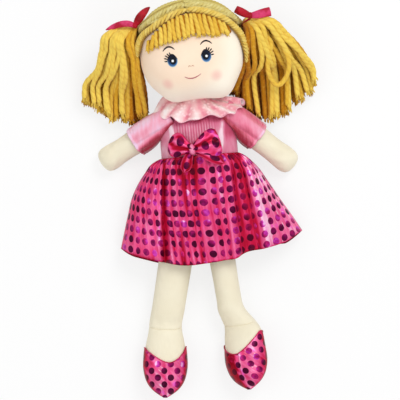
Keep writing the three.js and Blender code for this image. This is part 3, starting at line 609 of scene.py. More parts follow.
faceCloth = makeFaceCloth()
bodyCloth = makeBodyCloth()
goldYarn = makeYarn("goldYarn", (243, 210, 92), (227, 176, 48), (196, 130, 14), (146, 76, 2))
ropeYarn = makeYarn("ropeYarn", (238, 212, 116), (224, 188, 80), (188, 142, 36), (124, 70, 4))
crownYarn = makeYarn("crownYarn", (228, 216, 146), (214, 196, 112), (184, 154, 62), (128, 84, 14))
dottedFoil = makeDottedFoil()
bodiceSatin = makeSatin("bodiceSatin", (176, 36, 78), (214, 96, 134), (228, 146, 172), (248, 220, 232))
sleeveSatin = makeSatin("sleeveSatin", (168, 20, 54), (230, 112, 144), (242, 166, 190), (242, 206, 232))
knotSatin = makeSatin("knotSatin", (206, 50, 104), (232, 96, 146), (242, 132, 174), (250, 176, 204))
paleOrganza = makeOrganza()
crimsonRibbon = makeRibbon("crimsonRibbon", (140, 2, 14), (184, 18, 42))
roseRibbon = makeRibbon("roseRibbon", (180, 22, 54), (214, 62, 112))
paleTrim = makeRibbon("paleTrim", (240, 168, 186), (252, 206, 216))
darkThread = makeThread("darkThread", (24, 20, 26), (44, 36, 42))
pupilThread = makeThread("pupilThread", (8, 10, 20), (18, 24, 40))
whiteThread = makeThread("whiteThread", (238, 242, 248), (255, 255, 255))
tanThread = makeThread("tanThread", (196, 146, 118), (214, 170, 142))
roseThread = makeThread("roseThread", (172, 84, 96), (200, 118, 124))
seamThread = makeThread("seamThread", (222, 208, 176), (244, 236, 212), 0.8)
irisThread = makeIris()
print("materials done")


# head skin: rings from crown to chin, pulled in a little along the side seam
def makeHead():
    rows, cols = 110, 168
    down = np.linspace(0.03, np.pi - 0.03, rows)[:, None]
    around = fullTurn(cols)[None]
    flat = np.broadcast_to(np.cos(down), (rows, cols))
    direction = np.stack([np.sin(down) * np.cos(around), flat, np.sin(down) * np.sin(around)], axis=-1)
    seam = bell(onHead(direction)[..., 2], 0, 1.3)
    place = onHead(direction, -0.8 * seam[..., None])
    piece = ringBody("head_skin", inHead(place), faceCloth)
    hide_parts("face_panel", "head_back_panel", "head_stuffing")
    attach(piece, "head")


# embroidered face: x and y from the middle of the head
eye = {"spots": ((-20.1, -6.8, -1), (13.6, -7.5, 1)), "half": (5.1, 6.1), "lift": 0.35, "lidRadius": 0.6,
       "lashes": (78, 60, 42, 24, 4), "lashLengths": (2.4, 2.9, 3.3, 3.3, 2.8), "lashRadius": 0.6}
brow = {"rows": (((-28.0, 4.0), (-21.9, 11.2), (-16.2, 3.8)),
                 ((9.4, 4.1), (15.2, 11.2), (21.2, 3.6))), "radius": 0.8}
mouth = {"rows": (((-11.1, -24.0), (-4.2, -29.6), (5.8, -23.7)),), "radius": 0.55}
nose = {"rows": (((-5.6, -15.7), (-4.5, -13.2), (-3.2, -15.3)),
                 ((-2.4, -15.5), (-1.1, -13.3), (0.1, -15.8))), "radius": 0.36}


# an oval patch on the face, domed towards its middle; v of its map runs up
def facePatch(name, x, y, halfX, halfY, lift, material):
    reach = np.linspace(0.06, 1, 9)[:, None]
    angle = fullTurn(40)[None]
    px = x + halfX * reach * np.cos(angle)
    py = y + halfY * reach * np.sin(angle)
    top = onFace(px, py, lift * np.sqrt(1.02 - reach ** 2) + 0.12)
    base = onFace(px[-1:], py[-1:], -0.3)
    grid = np.concatenate([top, base])
    share = np.stack([grid[..., 0] - x + halfX, grid[..., 1] - y + halfY], axis=-1)
    uv = share / np.array([2 * halfX, 2 * halfY])
    piece = ringBody(name, inHead(grid), material, closedRound(uv))
    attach(piece, "head")


# thread lines on the face, each a curve through a middle control point, tapering to its ends
def faceLines(name, rows, radius, material, taper):
    first, middle, last = (np.asarray(rows, float)[:, None, k] for k in range(3))
    share = np.linspace(0, 1, 28)
    t = share[None, :, None]
    flat = first * (1 - t) ** 2 + 2 * middle * t * (1 - t) + last * t * t
    paths = inHead(onFace(flat[..., 0], flat[..., 1], 0.1))
    size = radius * mix(taper, 1, np.sin(np.pi * share) ** 0.7)[None]
    piece = yarnPiece(name, paths, size, material, upward, "floss")
    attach(piece, "head")


# each eye is three patches one on another; lids, lashes, brows, mouth and nose are thread
def makeFace():
    halfX, halfY = eye["half"]
    lift = eye["lift"]
    for (x, y, side), name in zip(eye["spots"], ("right", "left")):
        facePatch(name + "_iris", x, y, halfX, halfY, lift, irisThread)
        pupil = (x - 0.5 * side, y + 0.3, 0.7 * halfX, 0.74 * halfY)
        facePatch(name + "_pupil", *pupil, lift + 0.3, pupilThread)
        facePatch(name + "_eye_light", x + 0.2, y - 0.1, 1.5, 1.55, lift + 0.7, whiteThread)
        lid = [((x - 1.02 * halfX, y + 0.6), (x, y + 1.98 * halfY), (x + 1.02 * halfX, y + 0.6))]
        faceLines(name + "_eyelid", lid, eye["lidRadius"], darkThread, 0.4)
        # lashes stand out from the upper outer edge of the eye, their tips bent up
        turn = np.radians(eye["lashes"])
        root = np.stack([x + side * halfX * np.cos(turn), y + halfY * np.sin(turn)], axis=-1)
        out = np.stack([side * np.cos(turn - 0.12), np.sin(turn - 0.12)], axis=-1)
        length = np.array(eye["lashLengths"])[:, None]
        tip = root + length * out + np.array([0.0, 0.5])
        lashes = np.stack([root - 0.4 * out, root + 0.55 * length * out, tip], axis=1)
        faceLines(name + "_lashes", lashes, eye["lashRadius"], darkThread, 0.5)
    faceLines("brows", brow["rows"], brow["radius"], darkThread, 0.3)
    faceLines("mouth", mouth["rows"], mouth["radius"], roseThread, 0.3)
    faceLines("nose", nose["rows"], nose["radius"], tanThread, 0.5)


makeHead()
makeFace()
print("head done")


# hair
hair = {"partCount": 64, "strand": 1.7, "lift": 1.4, "base": 0.7, "ropeStrand": 1.9, "ropeRadius": 1.9,
        "ropePitch": 10.5}
tieDirection = {-1: np.array([-0.839, 0.545, 0.0]), 1: np.array([0.94, 0.342, 0.0])}
sideName = {-1: "right", 1: "left"}
# where the hair of one side starts: down the middle from the forehead over the back, then out to the cheek
partRows = ((0.0, 0.01, 0.80, 0.60), (0.14, -0.02, 0.96, 0.3), (0.27, -0.03, 0.98, -0.2),
            (0.42, -0.02, 0.6, -0.8), (0.56, -0.02, -0.05, -1.0), (0.68, 0.0, -0.62, -0.8),
            (0.80, 0.50, -0.60, -0.66), (0.90, 0.74, -0.38, -0.60), (1.0, 0.90, -0.06, -0.40))


# a strand's direction: from the parting to the tie, its middle pulled towards the front for the first ones
def fanDirections(side, place, share):
    start = through(partRows, place)
    start[..., 0] *= side
    start = unit(start)
    tie = tieDirection[side]
    front = unit(np.array([side * 0.70, 0.60, 0.66]))
    along = smooth(0.0, 0.3, place)[..., None]
    middle = mix(np.broadcast_to(front, start.shape), unit(start + tie), along)
    control = unit(middle) * mix(1.0, 1.1, along)
    start, control = start[:, None], control[:, None]
    t = share[None, :, None]
    return unit(start * (1 - t) ** 2 + 2 * control * t * (1 - t) + tie * t * t)


# both sides of the cap: a base under the hair, then its strands
def makeCap():
    for side, name in sideName.items():
        place = np.linspace(0.0, 1.0, 90)
        share = np.linspace(0.0, 0.985, 60)
        grid = inHead(onHead(fanDirections(side, place, share), hair["base"]))
        grid[..., 2] = np.maximum(grid[..., 2], 1.6)
        uv = np.stack(np.meshgrid(share * 12, place * 20), axis=-1)
        cloth = clothPiece(name + "_hair_base", grid, 1.3, crownYarn, uv)
        if side < 0:
            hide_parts("yarn_cap")
        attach(cloth, "head")
        count = hair["partCount"]
        place = np.linspace(0.012, 0.985, count) + rng.uniform(-0.004, 0.004, count)
        share = np.linspace(0.012, 0.975, 88)
        lift = hair["lift"] + rng.uniform(-0.6, 1.0, (count, 1, 1))
        lift = lift + smooth(0.7, 1.0, share)[None, :, None] * rng.uniform(0.5, 4.5, (count, 1, 1))
        direction = fanDirections(side, place, share)
        waver = 0.014 * np.sin(9 * share[None] + rng.uniform(0, 6.3, (count, 1)))
        direction = direction + waver[..., None] * np.array([0.4, 0.6, 0.5])
        paths = inHead(onHead(direction, lift))
        paths[..., 2] = np.maximum(paths[..., 2], 1.1 * hair["strand"])
        size = hair["strand"] * mix(1.0, 0.72, smooth(0.6, 1.0, share))[None]
        outward = unit(paths - headShape["centre"])
        tone = rng.uniform(0.4, 1.0, count)
        crown = name + "_crown_hair"
        strands = yarnPiece(crown, paths, size, crownYarn, outward, "crown", tone=tone)
        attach(strands, "head")


# hairline ropes: strands wound round a path; the lower runs from the parting past the temple, the upper to
# the tie
ropeRows = {
    "left_hairline": ((0.0, 2, 38, 27), (0.3, 28, 29, 27), (0.5, 41.5, 18, 23), (0.75, 49.4, 4, 15),
                      (1.0, 50, -18, 9)),
    "right_hairline": ((0.0, 2, 38, 27), (0.3, -30, 28, 27), (0.55, -43, 21, 20), (0.8, -48, 13, 16),
                       (1.0, -49.6, 4, 13)),
    "left_upper_rope": ((0.0, 1, 43, 21), (0.35, 25, 36, 21), (0.7, 40, 27, 14), (1.0, 47, 19, 6)),
    "right_upper_rope": ((0.0, 1, 43, 21), (0.35, -25, 36, 21), (0.7, -38, 30, 14), (1.0, -44, 26, 6))}


# three strands a third of a turn apart, thinner towards the end
def makeRopes():
    for name, rows in ropeRows.items():
        share = np.linspace(0, 1, 190)
        yarn, lift = (crownYarn, 2.0) if "upper" in name else (ropeYarn, 3.6)
        middle = onHead(through(rows, share), lift)
        tangent = unit(np.gradient(middle, axis=0))
        outward = unit(middle)
        across = unit(np.cross(tangent, outward))
        turns = pathLength(middle) / hair["ropePitch"]
        turn = 2 * np.pi * share * turns + np.arange(3)[:, None] * 2 * np.pi / 3
        thin = mix(1.0, 0.5, smooth(0.8, 1.0, share))
        wound = hair["ropeRadius"] * smooth(0, 0.08, share) * thin
        offset = np.cos(turn)[..., None] * across + np.sin(turn)[..., None] * outward
        paths = inHead(middle[None] + (wound[:, None] * offset))
        facing = np.broadcast_to(outward @ headTurn.T, paths.shape)
        tone = np.array([0.7, 0.98, 0.84])
        rope = yarnPiece(name, paths, hair["ropeStrand"] * thin[None], yarn, facing, "rope", tone=tone)
        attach(rope, "head")


# loose fibres at the end of each strand: they start inside it and spread as they leave
def frayed(paths, radius, each, inside, beyond):
    end = np.repeat(paths[:, -1], each, axis=0)
    along = np.repeat(unit(paths[:, -1] - paths[:, -4]), each, axis=0)
    aside = rng.normal(0, 1, end.shape)
    aside = unit(aside - (aside * along).sum(-1, keepdims=True) * along)
    out = rng.uniform(0.2, 0.8, (len(end), 1)) * radius
    reach = rng.uniform(0.3, 1.0, (len(end), 1)) * beyond
    rows = [end - inside * along + 0.6 * out * aside, end - 0.3 * inside * along + out * aside,
            end + 0.4 * reach * along + 1.25 * out * aside, end + reach * along + 1.6 * out * aside]
    return bezier(*rows, 10)


fringe = {"count": 18, "strand": 2.35, "reach": (-42.5, 38.0), "top": 37.0, "end": 11.4, "tip": 0.42}


# strands laid side by side over the forehead, every other one standing out more
def makeFringe():
    count, steps, strand = fringe["count"], 46, fringe["strand"]
    x = np.linspace(*fringe["reach"], count)
    top = fringe["top"] - 11.0 * np.abs((x - 1) / 33.0) ** 2.0
    end = fringe["end"] + 2.2 * np.cos(x / 18.0) - 2.0 * smooth(-30, -42, x) + rng.uniform(-1.6, 1.6, count)
    share = np.linspace(0, 1, steps)
    sway = 0.6 * np.sin(4 * share[None] + rng.uniform(0, 6.3, (count, 1)))
    px = mix(0.93 * x[:, None], 1.02 * x[:, None], share[None]) + sway
    py = mix(top[:, None], end[:, None], share[None])
    lift = strand * (0.92 + 0.5 * (np.arange(count) % 2)[:, None] * np.sin(np.pi * share) ** 0.5)
    paths = inHead(onFace(px, py, lift))
    size = strand * mix(0.84, 1.04, smooth(0.0, 0.8, share))[None]
    tone = rng.uniform(0.66, 1.0, count)
    # darker strands behind, half a strand aside, so that no forehead shows between; their dark tone is
    # painted shade
    under = inHead(onFace(px + 2.3, py + 1.5 * share, 0.3 * strand))
    both = np.concatenate([paths, under])
    bothSize = np.concatenate([np.broadcast_to(size, (count, steps))] * 2)
    bothTone = np.concatenate([tone, rng.uniform(0.1, 0.3, count)])
    piece = yarnPiece("fringe_hair", both, bothSize, goldYarn, upward, "fringe", tone=bothTone)
    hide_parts("fringe")
    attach(piece, "head")
    tips = frayed(paths, strand, 7, 4.0, 2.0)
    pale = np.full(len(tips), 0.95)
    fluff = yarnPiece("fringe_tips", tips, fringe["tip"], goldYarn, upward, "fluff", 5, pale)
    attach(fluff, "head")


makeCap()
makeRopes()
makeFringe()
print("hair done")


# pigtails: strands come through the tie together and fan out to a ragged row of ends on the table;
# the tone of each layer is painted shade, darkest for the lowest layers under the others;
# heights of the fan at each station: middle, gain from the lowest layer up, gain in the middle of the fan
pigtail = {"across": (19, 16, 12, 10), "layerShade": (0.1, 0.36, 0.68, 0.92), "radius": 2.75, "tieReach": 0.5,
           "tieSpread": 5.0, "tip": 0.5, "shade": {-1: 0.45, 1: 1.0},
           "heights": ((46, 9, 4), (39, 9.5, 5), (26, 9.5, 5), (13, 7.5, 4))}
# after the tie: lines of the innermost and outermost strand (share of the length, inner x y, outer x y),
# and the row of ends (share from inner to outer, x y)
tailShape = {
    -1: {"pivot": (-57.4, 119.1),
         "lines": ((0.2, -56.4, 104, -81.5, 113), (0.4, -53.4, 84, -88.5, 97), (0.65, -51.2, 62, -96, 79),
                   (0.85, -50.2, 45, -110, 65)),
         "ends": ((0.0, -50, 31.5), (0.25, -66, 24.5), (0.42, -77, 29), (0.55, -85, 29),
                  (0.78, -97.5, 40.5), (1.0, -111.5, 48))},
    1: {"pivot": (60.2, 114.7),
        "lines": ((0.2, 56.8, 102, 82.5, 113.5), (0.4, 54.8, 82, 97.5, 97.5), (0.65, 51.0, 66, 112.5, 77.5),
                  (0.85, 44.0, 54, 121, 62)),
        "ends": ((0.0, 39, 45.5), (0.07, 49, 30), (0.14, 55.5, 21), (0.22, 62, 16), (0.34, 69, 14.5),
                 (0.5, 80, 14.5), (0.62, 90.5, 20), (0.7, 97, 28.5), (0.86, 113.5, 33.5), (1.0, 122.5, 48))},
}
# one loose strand of the left pigtail bends back up on itself
loopRows = ((0.0, 64, 112, 46), (0.1, 72, 103, 54), (0.22, 80.5, 90, 51), (0.34, 76.4, 76, 46),
            (0.48, 76.6, 58, 39), (0.58, 83.6, 48.4, 35), (0.68, 92, 54, 36), (0.8, 97, 69, 41),
            (0.9, 93, 83, 45), (1.0, 80, 101, 46))


# where a pigtail is tied, and the direction in which its yarn leaves the tie
def tieOf(side):
    pivot = np.array([*tailShape[side]["pivot"], headShape["centre"][2]])
    return pivot, headTurn @ np.array([side * 0.45, -0.89, 0.0])


# layers of strands, each a smooth curve through the tie, the stations and its own end
def makePigtail(side):
    shape = tailShape[side]
    name = sideName[side]
    radius, layers = pigtail["radius"], len(pigtail["across"])
    layer = np.repeat(np.arange(layers), pigtail["across"])
    count = len(layer)
    share = np.concatenate([np.linspace(0, 1, n) for n in pigtail["across"]])
    loose = 0.02 + 0.03 * layer
    early = np.clip(share + rng.uniform(-1, 1, count) * loose, 0, 1)
    late = np.clip(share + rng.uniform(-1, 1, count) * loose, 0, 1)
    depth = 2 * layer / (layers - 1) - 1
    bulge = np.sin(np.pi * share)
    pivot, leave = tieOf(side)
    sideways = unit(np.cross(leave, upward)) * -side
    spread = (2 * share - 1)[:, None] * sideways + 0.8 * depth[:, None] * upward
    rows = [pivot - 3 * leave - 9 * upward + 0.4 * pigtail["tieSpread"] * spread,
            pivot + pigtail["tieReach"] * leave + pigtail["tieSpread"] * spread]
    for k, (line, (level, rise, crown)) in enumerate(zip(shape["lines"], pigtail["heights"])):
        _, xIn, yIn, xOut, yOut = line
        where = mix(early, late, k / 3)
        high = level + rise * depth + crown * bulge
        rows.append(np.column_stack([mix(xIn, xOut, where), mix(yIn, yOut, where), high]))
    ends = through(shape["ends"], late)
    shorter = rng.uniform(0.0, 0.16, count) + 0.10 * (depth > 0.5)
    shorter = shorter + 0.12 * (share > 0.8) * rng.random(count)
    low = 1.2 * radius + 4.6 * layer + rng.uniform(-0.4, 1.2, count)
    rows.append(mix(np.column_stack([ends, low]), rows[-1], shorter[:, None]))
    places = [0.0, 0.09, *[row[0] for row in shape["lines"]], 1.0]
    table = np.column_stack([places, np.array(rows).reshape(len(rows), -1)])
    steps = 110
    t = np.linspace(0, 1, steps)
    paths = through(table, t).reshape(steps, count, 3).transpose(1, 0, 2)
    phase = rng.uniform(0, 6.3, (count, 2))
    wave = rng.uniform(0.5, 1.2, (count, 1)) * (0.6 + 0.35 * layer[:, None]) * smooth(0.15, 0.45, t)
    paths[..., 0] += wave * np.sin(8.0 * t + phase[:, :1])
    paths[..., 1] += wave * np.cos(7.0 * t + phase[:, 1:])
    paths[..., 2] = np.maximum(paths[..., 2], 1.1 * radius)
    # painted shade: the inner strands by the face darker, less so in the upper layers, and the outer strands
    # a little lighter
    shaded = pigtail["shade"][side] * smooth(0.42, 0.1, share) * mix(1.0, 0.7, layer / (layers - 1))
    shaded = shaded - 0.12 * smooth(0.45, 0.7, share)
    tone = np.array(pigtail["layerShade"])[layer] + rng.uniform(-0.14, 0.16, count) - shaded
    if side > 0:
        paths = np.concatenate([paths, through(loopRows, t)[None]])
        tone = np.append(tone, 0.8)
    thin = mix(0.8, 1.0, smooth(0.05, 0.25, t))[None]
    size = radius * rng.uniform(0.92, 1.08, (len(paths), 1)) * thin
    facing = np.broadcast_to(upward + 0.3 * np.array([side, 0.0, 0.0]), paths.shape)
    shown = np.clip(tone, 0, 1)
    piece = yarnPiece(name + "_pigtail_yarn", paths, size, goldYarn, facing, "pigtail", tone=shown)
    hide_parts(name + "_pigtail")
    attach(piece, "pigtail_" + name)
    each = 8
    tips = frayed(paths[:count], radius, each, 4.5, 4.5)
    tips[..., 2] = np.maximum(tips[..., 2], 0.6)
    shade = np.repeat(np.clip(tone[:count] + 0.1, 0, 1), each)
    fluff = yarnPiece(name + "_pigtail_tips", tips, pigtail["tip"], goldYarn, upward, "fluff", 5, shade)
    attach(fluff, "pigtail_" + name)


# tie: a gathered band round the yarn where it leaves the head
tie = {"radius": 7.2, "thick": 1.2, "half": 2.2}


# a ring of round section, puckered on the way round
def makeTie(side):
    name = sideName[side]
    pivot, leave = tieOf(side)
    middle = pivot + pigtail["tieReach"] * leave
    across = unit(np.cross(leave, upward))
    turns, sides = 96, 20
    around = fullTurn(turns)[:, None]
    section = fullTurn(sides)[None]
    pucker = 0.35 * np.cos(9 * around + 2 * np.sin(3 * around)) * np.cos(section)
    radius = tie["radius"] + tie["thick"] * np.cos(section) + pucker
    offset = tie["half"] * np.sin(section)
    spoke = np.cos(around)[..., None] * across + np.sin(around)[..., None] * upward
    grid = middle + radius[..., None] * spoke + offset[..., None] * leave
    quads = gridQuads(turns, sides, True, True)
    piece = solid(name + "_tie_band", grid.reshape(-1, 3), quads, [], crimsonRibbon)
    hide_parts(name + "_hair_tie")
    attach(piece, "pigtail_" + name)


# ribbon ends: a strip along a path, its half width and cup given at stations (place, x, y, z, half, cup)
ribbon = {"thick": 0.8, "leastWidth": 0.0101, "knot": {-1: (-53.2, 119.0, 55.2), 1: (62.0, 118.9, 55.4)},
          "knotHalf": (2.7, 3.2, 2.7)}
ribbonEnds = {
    "right_ribbon_leaf": {"side": -1, "cloth": crimsonRibbon, "rows": (
        (0.0, -53, 119, 55, 2.4, 0.8), (0.25, -49.2, 124, 57, 4.0, 1.6), (0.6, -43.8, 130.2, 55.5, 3.7, 1.4),
        (0.85, -39.4, 134.2, 53, 2.2, 0.8), (1.0, -36.8, 136, 51.8, 0.6, 0.2))},
    "right_ribbon_end": {"side": -1, "cloth": roseRibbon, "rows": (
        (0.0, -53, 118.8, 55, 2.4, 1.0), (0.3, -60, 121, 58, 3.2, 1.2), (0.65, -70, 120.6, 57, 3.0, 1.0),
        (0.9, -78.5, 118.4, 53.5, 1.8, 0.6), (1.0, -82.5, 117.2, 52, 0.5, 0.2))},
    "left_ribbon_end": {"side": 1, "cloth": roseRibbon, "rows": (
        (0.0, 62.0, 118.6, 55.5, 2.6, 1.0), (0.3, 68.5, 118.9, 57.8, 3.9, 1.3),
        (0.7, 76.5, 120.2, 57, 4.5, 1.3), (1.0, 82.4, 121.0, 54.5, 4.7, 1.2))},
    "left_ribbon_leaf": {"side": 1, "cloth": crimsonRibbon, "rows": (
        (0.0, 62.0, 118.6, 55.5, 2.6, 1.0), (0.3, 58, 120.4, 57.4, 3.7, 1.5),
        (0.7, 52.6, 123.6, 56.8, 4.1, 1.3), (1.0, 48.2, 126.4, 54.8, 3.7, 0.8))},
}


# a strip along its stations: q from -1 to 1 across, cupped by 1 - q2
def stripGrid(rows, across, steps):
    line = through(rows, np.linspace(0, 1, steps))
    tangent = unit(np.gradient(line[:, :3], axis=0))
    side = unit(np.cross(tangent, upward))
    up = np.cross(side, tangent)
    q = np.linspace(-1, 1, across)[None, :, None]
    half, cup = line[:, None, 3:4], line[:, None, 4:5]
    return line[:, None, :3] + side[:, None] * half * q + up[:, None] * cup * (1 - q * q)


# a puffed knot: a ball drawn out along one line and creased lengthwise
def makeKnot(name, middle, half, turn, material, body, creases=5):
    rows, cols = 30, 48
    down = np.linspace(0.06, np.pi - 0.06, rows)[:, None]
    around = fullTurn(cols)[None]
    pull = 1 + 0.07 * np.cos(creases * around + 1.1) * np.sin(down)
    flat = np.broadcast_to(np.cos(down), pull.shape)
    wide, deep = np.sin(down) * np.cos(around) * pull, np.sin(down) * np.sin(around) * pull
    ball = np.stack([wide, flat, deep], axis=-1)
    ball = np.sign(ball) * np.abs(ball) ** 0.86 * np.asarray(half, float)
    grid = ball @ turned(turn).T + np.asarray(middle, float)
    uv = evenUv((0, 2), cols + 1, (0, 2), rows)
    # painted light on the puffs, painted shade in the creases
    fold = np.clip(0.5 + 5 * (pull - 1), 0, 1)
    piece = ringBody(name, grid, material, uv, np.zeros(rows * cols), fold)
    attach(piece, body)
    return piece


# cupped strips, and a knot over each tie
def makeRibbons():
    steps, across = 40, 13
    bendFrom, bendTo = 4, 34
    for name, end in ribbonEnds.items():
        body = "pigtail_" + sideName[end["side"]]
        grid = stripGrid(end["rows"], across, steps)
        line = grid[:, across // 2]
        uv = evenUv((0, 1), across, (0, 2.6), steps)
        piece = clothPiece(name, grid, ribbon["thick"], end["cloth"], uv)
        if "leaf" in name:
            tuple(line[bendFrom] * mm)
            tuple(line[bendTo] * mm)
            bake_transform(piece)
        else:
            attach(piece, body)
        width = max(2 * max(row[4] for row in end["rows"]) * mm, ribbon["leastWidth"])
        clothArea(grid) * mm * mm
    for side, name in sideName.items():
        knot = makeKnot(name + "_ribbon_knot", ribbon["knot"][side], ribbon["knotHalf"], -30 * side,
                        crimsonRibbon, "pigtail_" + name)
        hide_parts(name + "_hair_ribbon")


for pigtailSide in (-1, 1):
    makePigtail(pigtailSide)
    makeTie(pigtailSide)
makeRibbons()
print("pigtails done")


# torso, neck and hip gather
torsoMiddle = 25.0
torsoRows = ((-50, 25, 3), (-46, 31, 9.2), (-36.2, 35.9, 17), (-15.2, 37, 23), (5.1, 35.9, 22.5),
             (18, 31, 17.5), (26, 21.4, 13.1), (31, 13.5, 11))
neckRows = ((30.6, 10.2, 9.8), (34, 9.6, 9.4), (40, 9.2, 9), (44.5, 6, 6), (46, 1.2, 1.2))
hipRoll = {"half": 27.4, "radius": 3.7, "at": (-6.25, -54.3)}


# oval rings down a line of stations (place, half width, half depth), place measured along Y
def ovalRings(rows, places, cols, grow=0.0):
    half = through(rows, places) + grow
    around = fullTurn(cols)[None]
    x = half[:, :1] * np.cos(around)
    z = half[:, 1:] * np.sin(around)
    return np.stack([x, np.broadcast_to(places[:, None], x.shape), z], axis=-1)


# torso and neck as oval rings, and the roll of cloth at the hip seam
def makeTorso():
    places = np.concatenate([[-50.2], np.linspace(-50, 31, 90), [31.2]])
    grid = ovalRings(torsoRows, places, 96)
    grid[0, :, ::2] *= 0.7
    grid[-1, :, ::2] *= 0.7
    piece = ringBody("torso_skin", grid + np.array([0, 0, torsoMiddle]), bodyCloth)
    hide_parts("torso_cover", "torso_stuffing")
    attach(piece, "torso")
    neck = ovalRings(neckRows, np.linspace(neckRows[0][0], neckRows[-1][0], 24), 64)
    neck[..., 0] += 0.7
    neck[..., 2] += torsoMiddle + 2 + 0.25 * np.cos(16 * fullTurn(64))
    piece = ringBody("neck_skin", neck, bodyCloth)
    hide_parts("neck")
    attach(piece, "torso")
    across = np.linspace(-hipRoll["half"], hipRoll["half"], 110)[:, None]
    around = fullTurn(40)[None]
    ripple = 1 + 0.05 * np.cos(across * 2.1 + 2 * np.sin(around))
    radius = hipRoll["radius"] * np.sqrt(1.002 - (across / 27.6) ** 8) * ripple
    x, y = hipRoll["at"]
    roll = np.stack([np.broadcast_to(across, radius.shape) + x, radius * np.cos(around) + y,
                     radius * np.sin(around) + torsoMiddle], axis=-1)
    piece = ringBody("hip_gather", roll, bodyCloth)
    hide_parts("hip_seam")
    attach(piece, "hips")


# limbs: turns in degrees; hand and sole scale the length beyond sleeve and ankle
limbs = {-1: {"arm": 62.5, "hand": 0.93, "leg": 13.7, "legDip": 4.68, "foot": 8.7, "footTurn": 0.0,
              "sole": 1.0, "aside": 0.0, "hip": (-22.0, -71.6, 23.59)},
         1: {"arm": 47.5, "hand": 1.085, "leg": 4.6, "legDip": 4.10, "foot": -3.3, "footTurn": -30.0,
             "sole": 0.95, "aside": 9.0, "hip": (9.5, -71.6, 23.76)}}
armRows = ((-5.8, 1.2, 1.2), (-4.2, 4.2, 4.2), (0, 6, 6), (9.75, 9.0, 8.6), (22.5, 11.7, 11),
           (45, 11.6, 10.8), (56, 11.9, 11), (63, 12.4, 11.2), (69, 11.6, 9.6), (72.5, 9.4, 6.8),
           (74.4, 6.0, 3.8), (75.2, 2.4, 1.4))
shoulder = {"x": 37.7, "y": 18.0, "dip": 13.3}


# 1 along the two side seams of a stuffed tube
def sideSeams(around):
    return bell(np.cos(around), 1, 0.004) + bell(np.cos(around), -1, 0.004)


# the shoulder's pivot and the arm's turn about it
def armTurn(side):
    pivot = np.array([side * shoulder["x"], shoulder["y"], torsoMiddle])
    return pivot, turned(side * limbs[side]["arm"], shoulder["dip"])


# from the arm's own axes to the doll's
def armPlace(side, grid):
    pivot, turn = armTurn(side)
    return grid @ turn.T + pivot


# oval rings from shoulder to hand, drawn in at the seams and puckered at the wrist
def makeArm(side):
    name = sideName[side]
    cols, cuff = 72, 30
    along = np.concatenate([np.linspace(-5.8, 60, 90), np.linspace(60.8, 75.2, 40)])
    grid = ovalRings(armRows, along, cols)
    around = fullTurn(cols)[None]
    pucker = bell(along, 57, 5)[:, None] * 0.35 * np.cos(7 * around + along[:, None] * 0.25)
    seam = 0.35 * sideSeams(around)
    grid = grid * (1 - (seam + pucker)[..., None] / 12 * np.array([1, 0, 1]))
    # the arm beyond the sleeve is a little shorter or longer than its pattern
    y = grid[..., 1]
    grid[..., 1] = -np.where(y > cuff, cuff + (y - cuff) * limbs[side]["hand"], y)
    grid[..., ::2] *= 1.04
    placed = armPlace(side, grid)
    placed[..., 2] = np.maximum(placed[..., 2], 0.1)
    piece = ringBody(name + "_arm_skin", placed, bodyCloth)
    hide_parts(name + "_arm_cover", name + "_arm_stuffing")
    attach(piece, "arm_" + name)


# stations down each leg and foot: place, half width, half depth; the left leg lies on its side
legRows = {
    -1: ((-12.6, 3.2, 2.3), (-11, 6.8, 3.2), (-6.5, 11.3, 5.1), (0, 13.4, 7.8), (16.5, 16.0, 12.2),
         (40, 16.9, 13.5), (82, 16.7, 13.5), (104, 16.6, 12.8), (117.5, 16.8, 10.8), (124, 17.6, 11.6),
         (130, 18.9, 12.8), (137.4, 20.3, 14.6), (153, 21.3, 16.2), (165, 20.2, 14.4), (173, 17.4, 11.4),
         (179, 13, 8), (183, 7, 4), (184.6, 1, 1)),
    1: ((-12.6, 3.2, 2.3), (-11, 6.8, 3.2), (-6.5, 10.6, 5.1), (0, 12.4, 7.8), (16.5, 12.9, 12.2),
        (40, 13.2, 14), (82, 12.7, 14), (96, 12.9, 13.6), (107.5, 14.6, 12.2), (117.5, 17.6, 10.8),
        (124, 19.6, 11.6), (130, 20.6, 12.8), (137.4, 21, 14.6), (153, 21.3, 16.2), (165, 20.2, 14.4),
        (173, 17.4, 11.4), (179, 13, 8), (183, 7, 4), (184.6, 1, 1)),
}
crease = 117.5  # the ankle's seam, down the leg
footRise = 4.83  # how far the toes are lifted, in degrees
slipper = {"thick": 0.85, "toe": 71.0, "dotPitch": 9.6, "edge": 0.55}
shoeRows = ((8.0, 19.0, 13.4), (19.0, 21.2, 15.0), (30.5, 22.4, 17.1), (39.7, 22.6, 17.3),
            (47.7, 21.4, 15.9), (55.7, 18.6, 13.0), (61.5, 14.6, 9.6), (65.8, 9.8, 6.2), (69.0, 5.0, 3.0),
            (71.2, 1.2, 1.0))
# opening of each slipper: its place, its slant to the doll's left, how far its lowest point lies aside
opening = {-1: {"place": 21.2, "slant": 0.6, "aside": 0.2}, 1: {"place": 17.2, "slant": 5.6, "aside": 0.0}}


# turns of leg and foot, and the places of hip and ankle
def legTurns(side):
    limb = limbs[side]
    leg = turned(side * limb["leg"], limb["legDip"])
    foot = leg @ turned(limb["foot"], -limb["legDip"] - footRise, limb["footTurn"])
    hip = np.array(limb["hip"])
    return leg, foot, hip, hip + leg @ np.array([side * limb["aside"], -crease, 0])


# from the foot's own axes to the doll's
def footPlace(side, grid):
    _, foot, _, ankle = legTurns(side)
    return grid @ foot.T + ankle


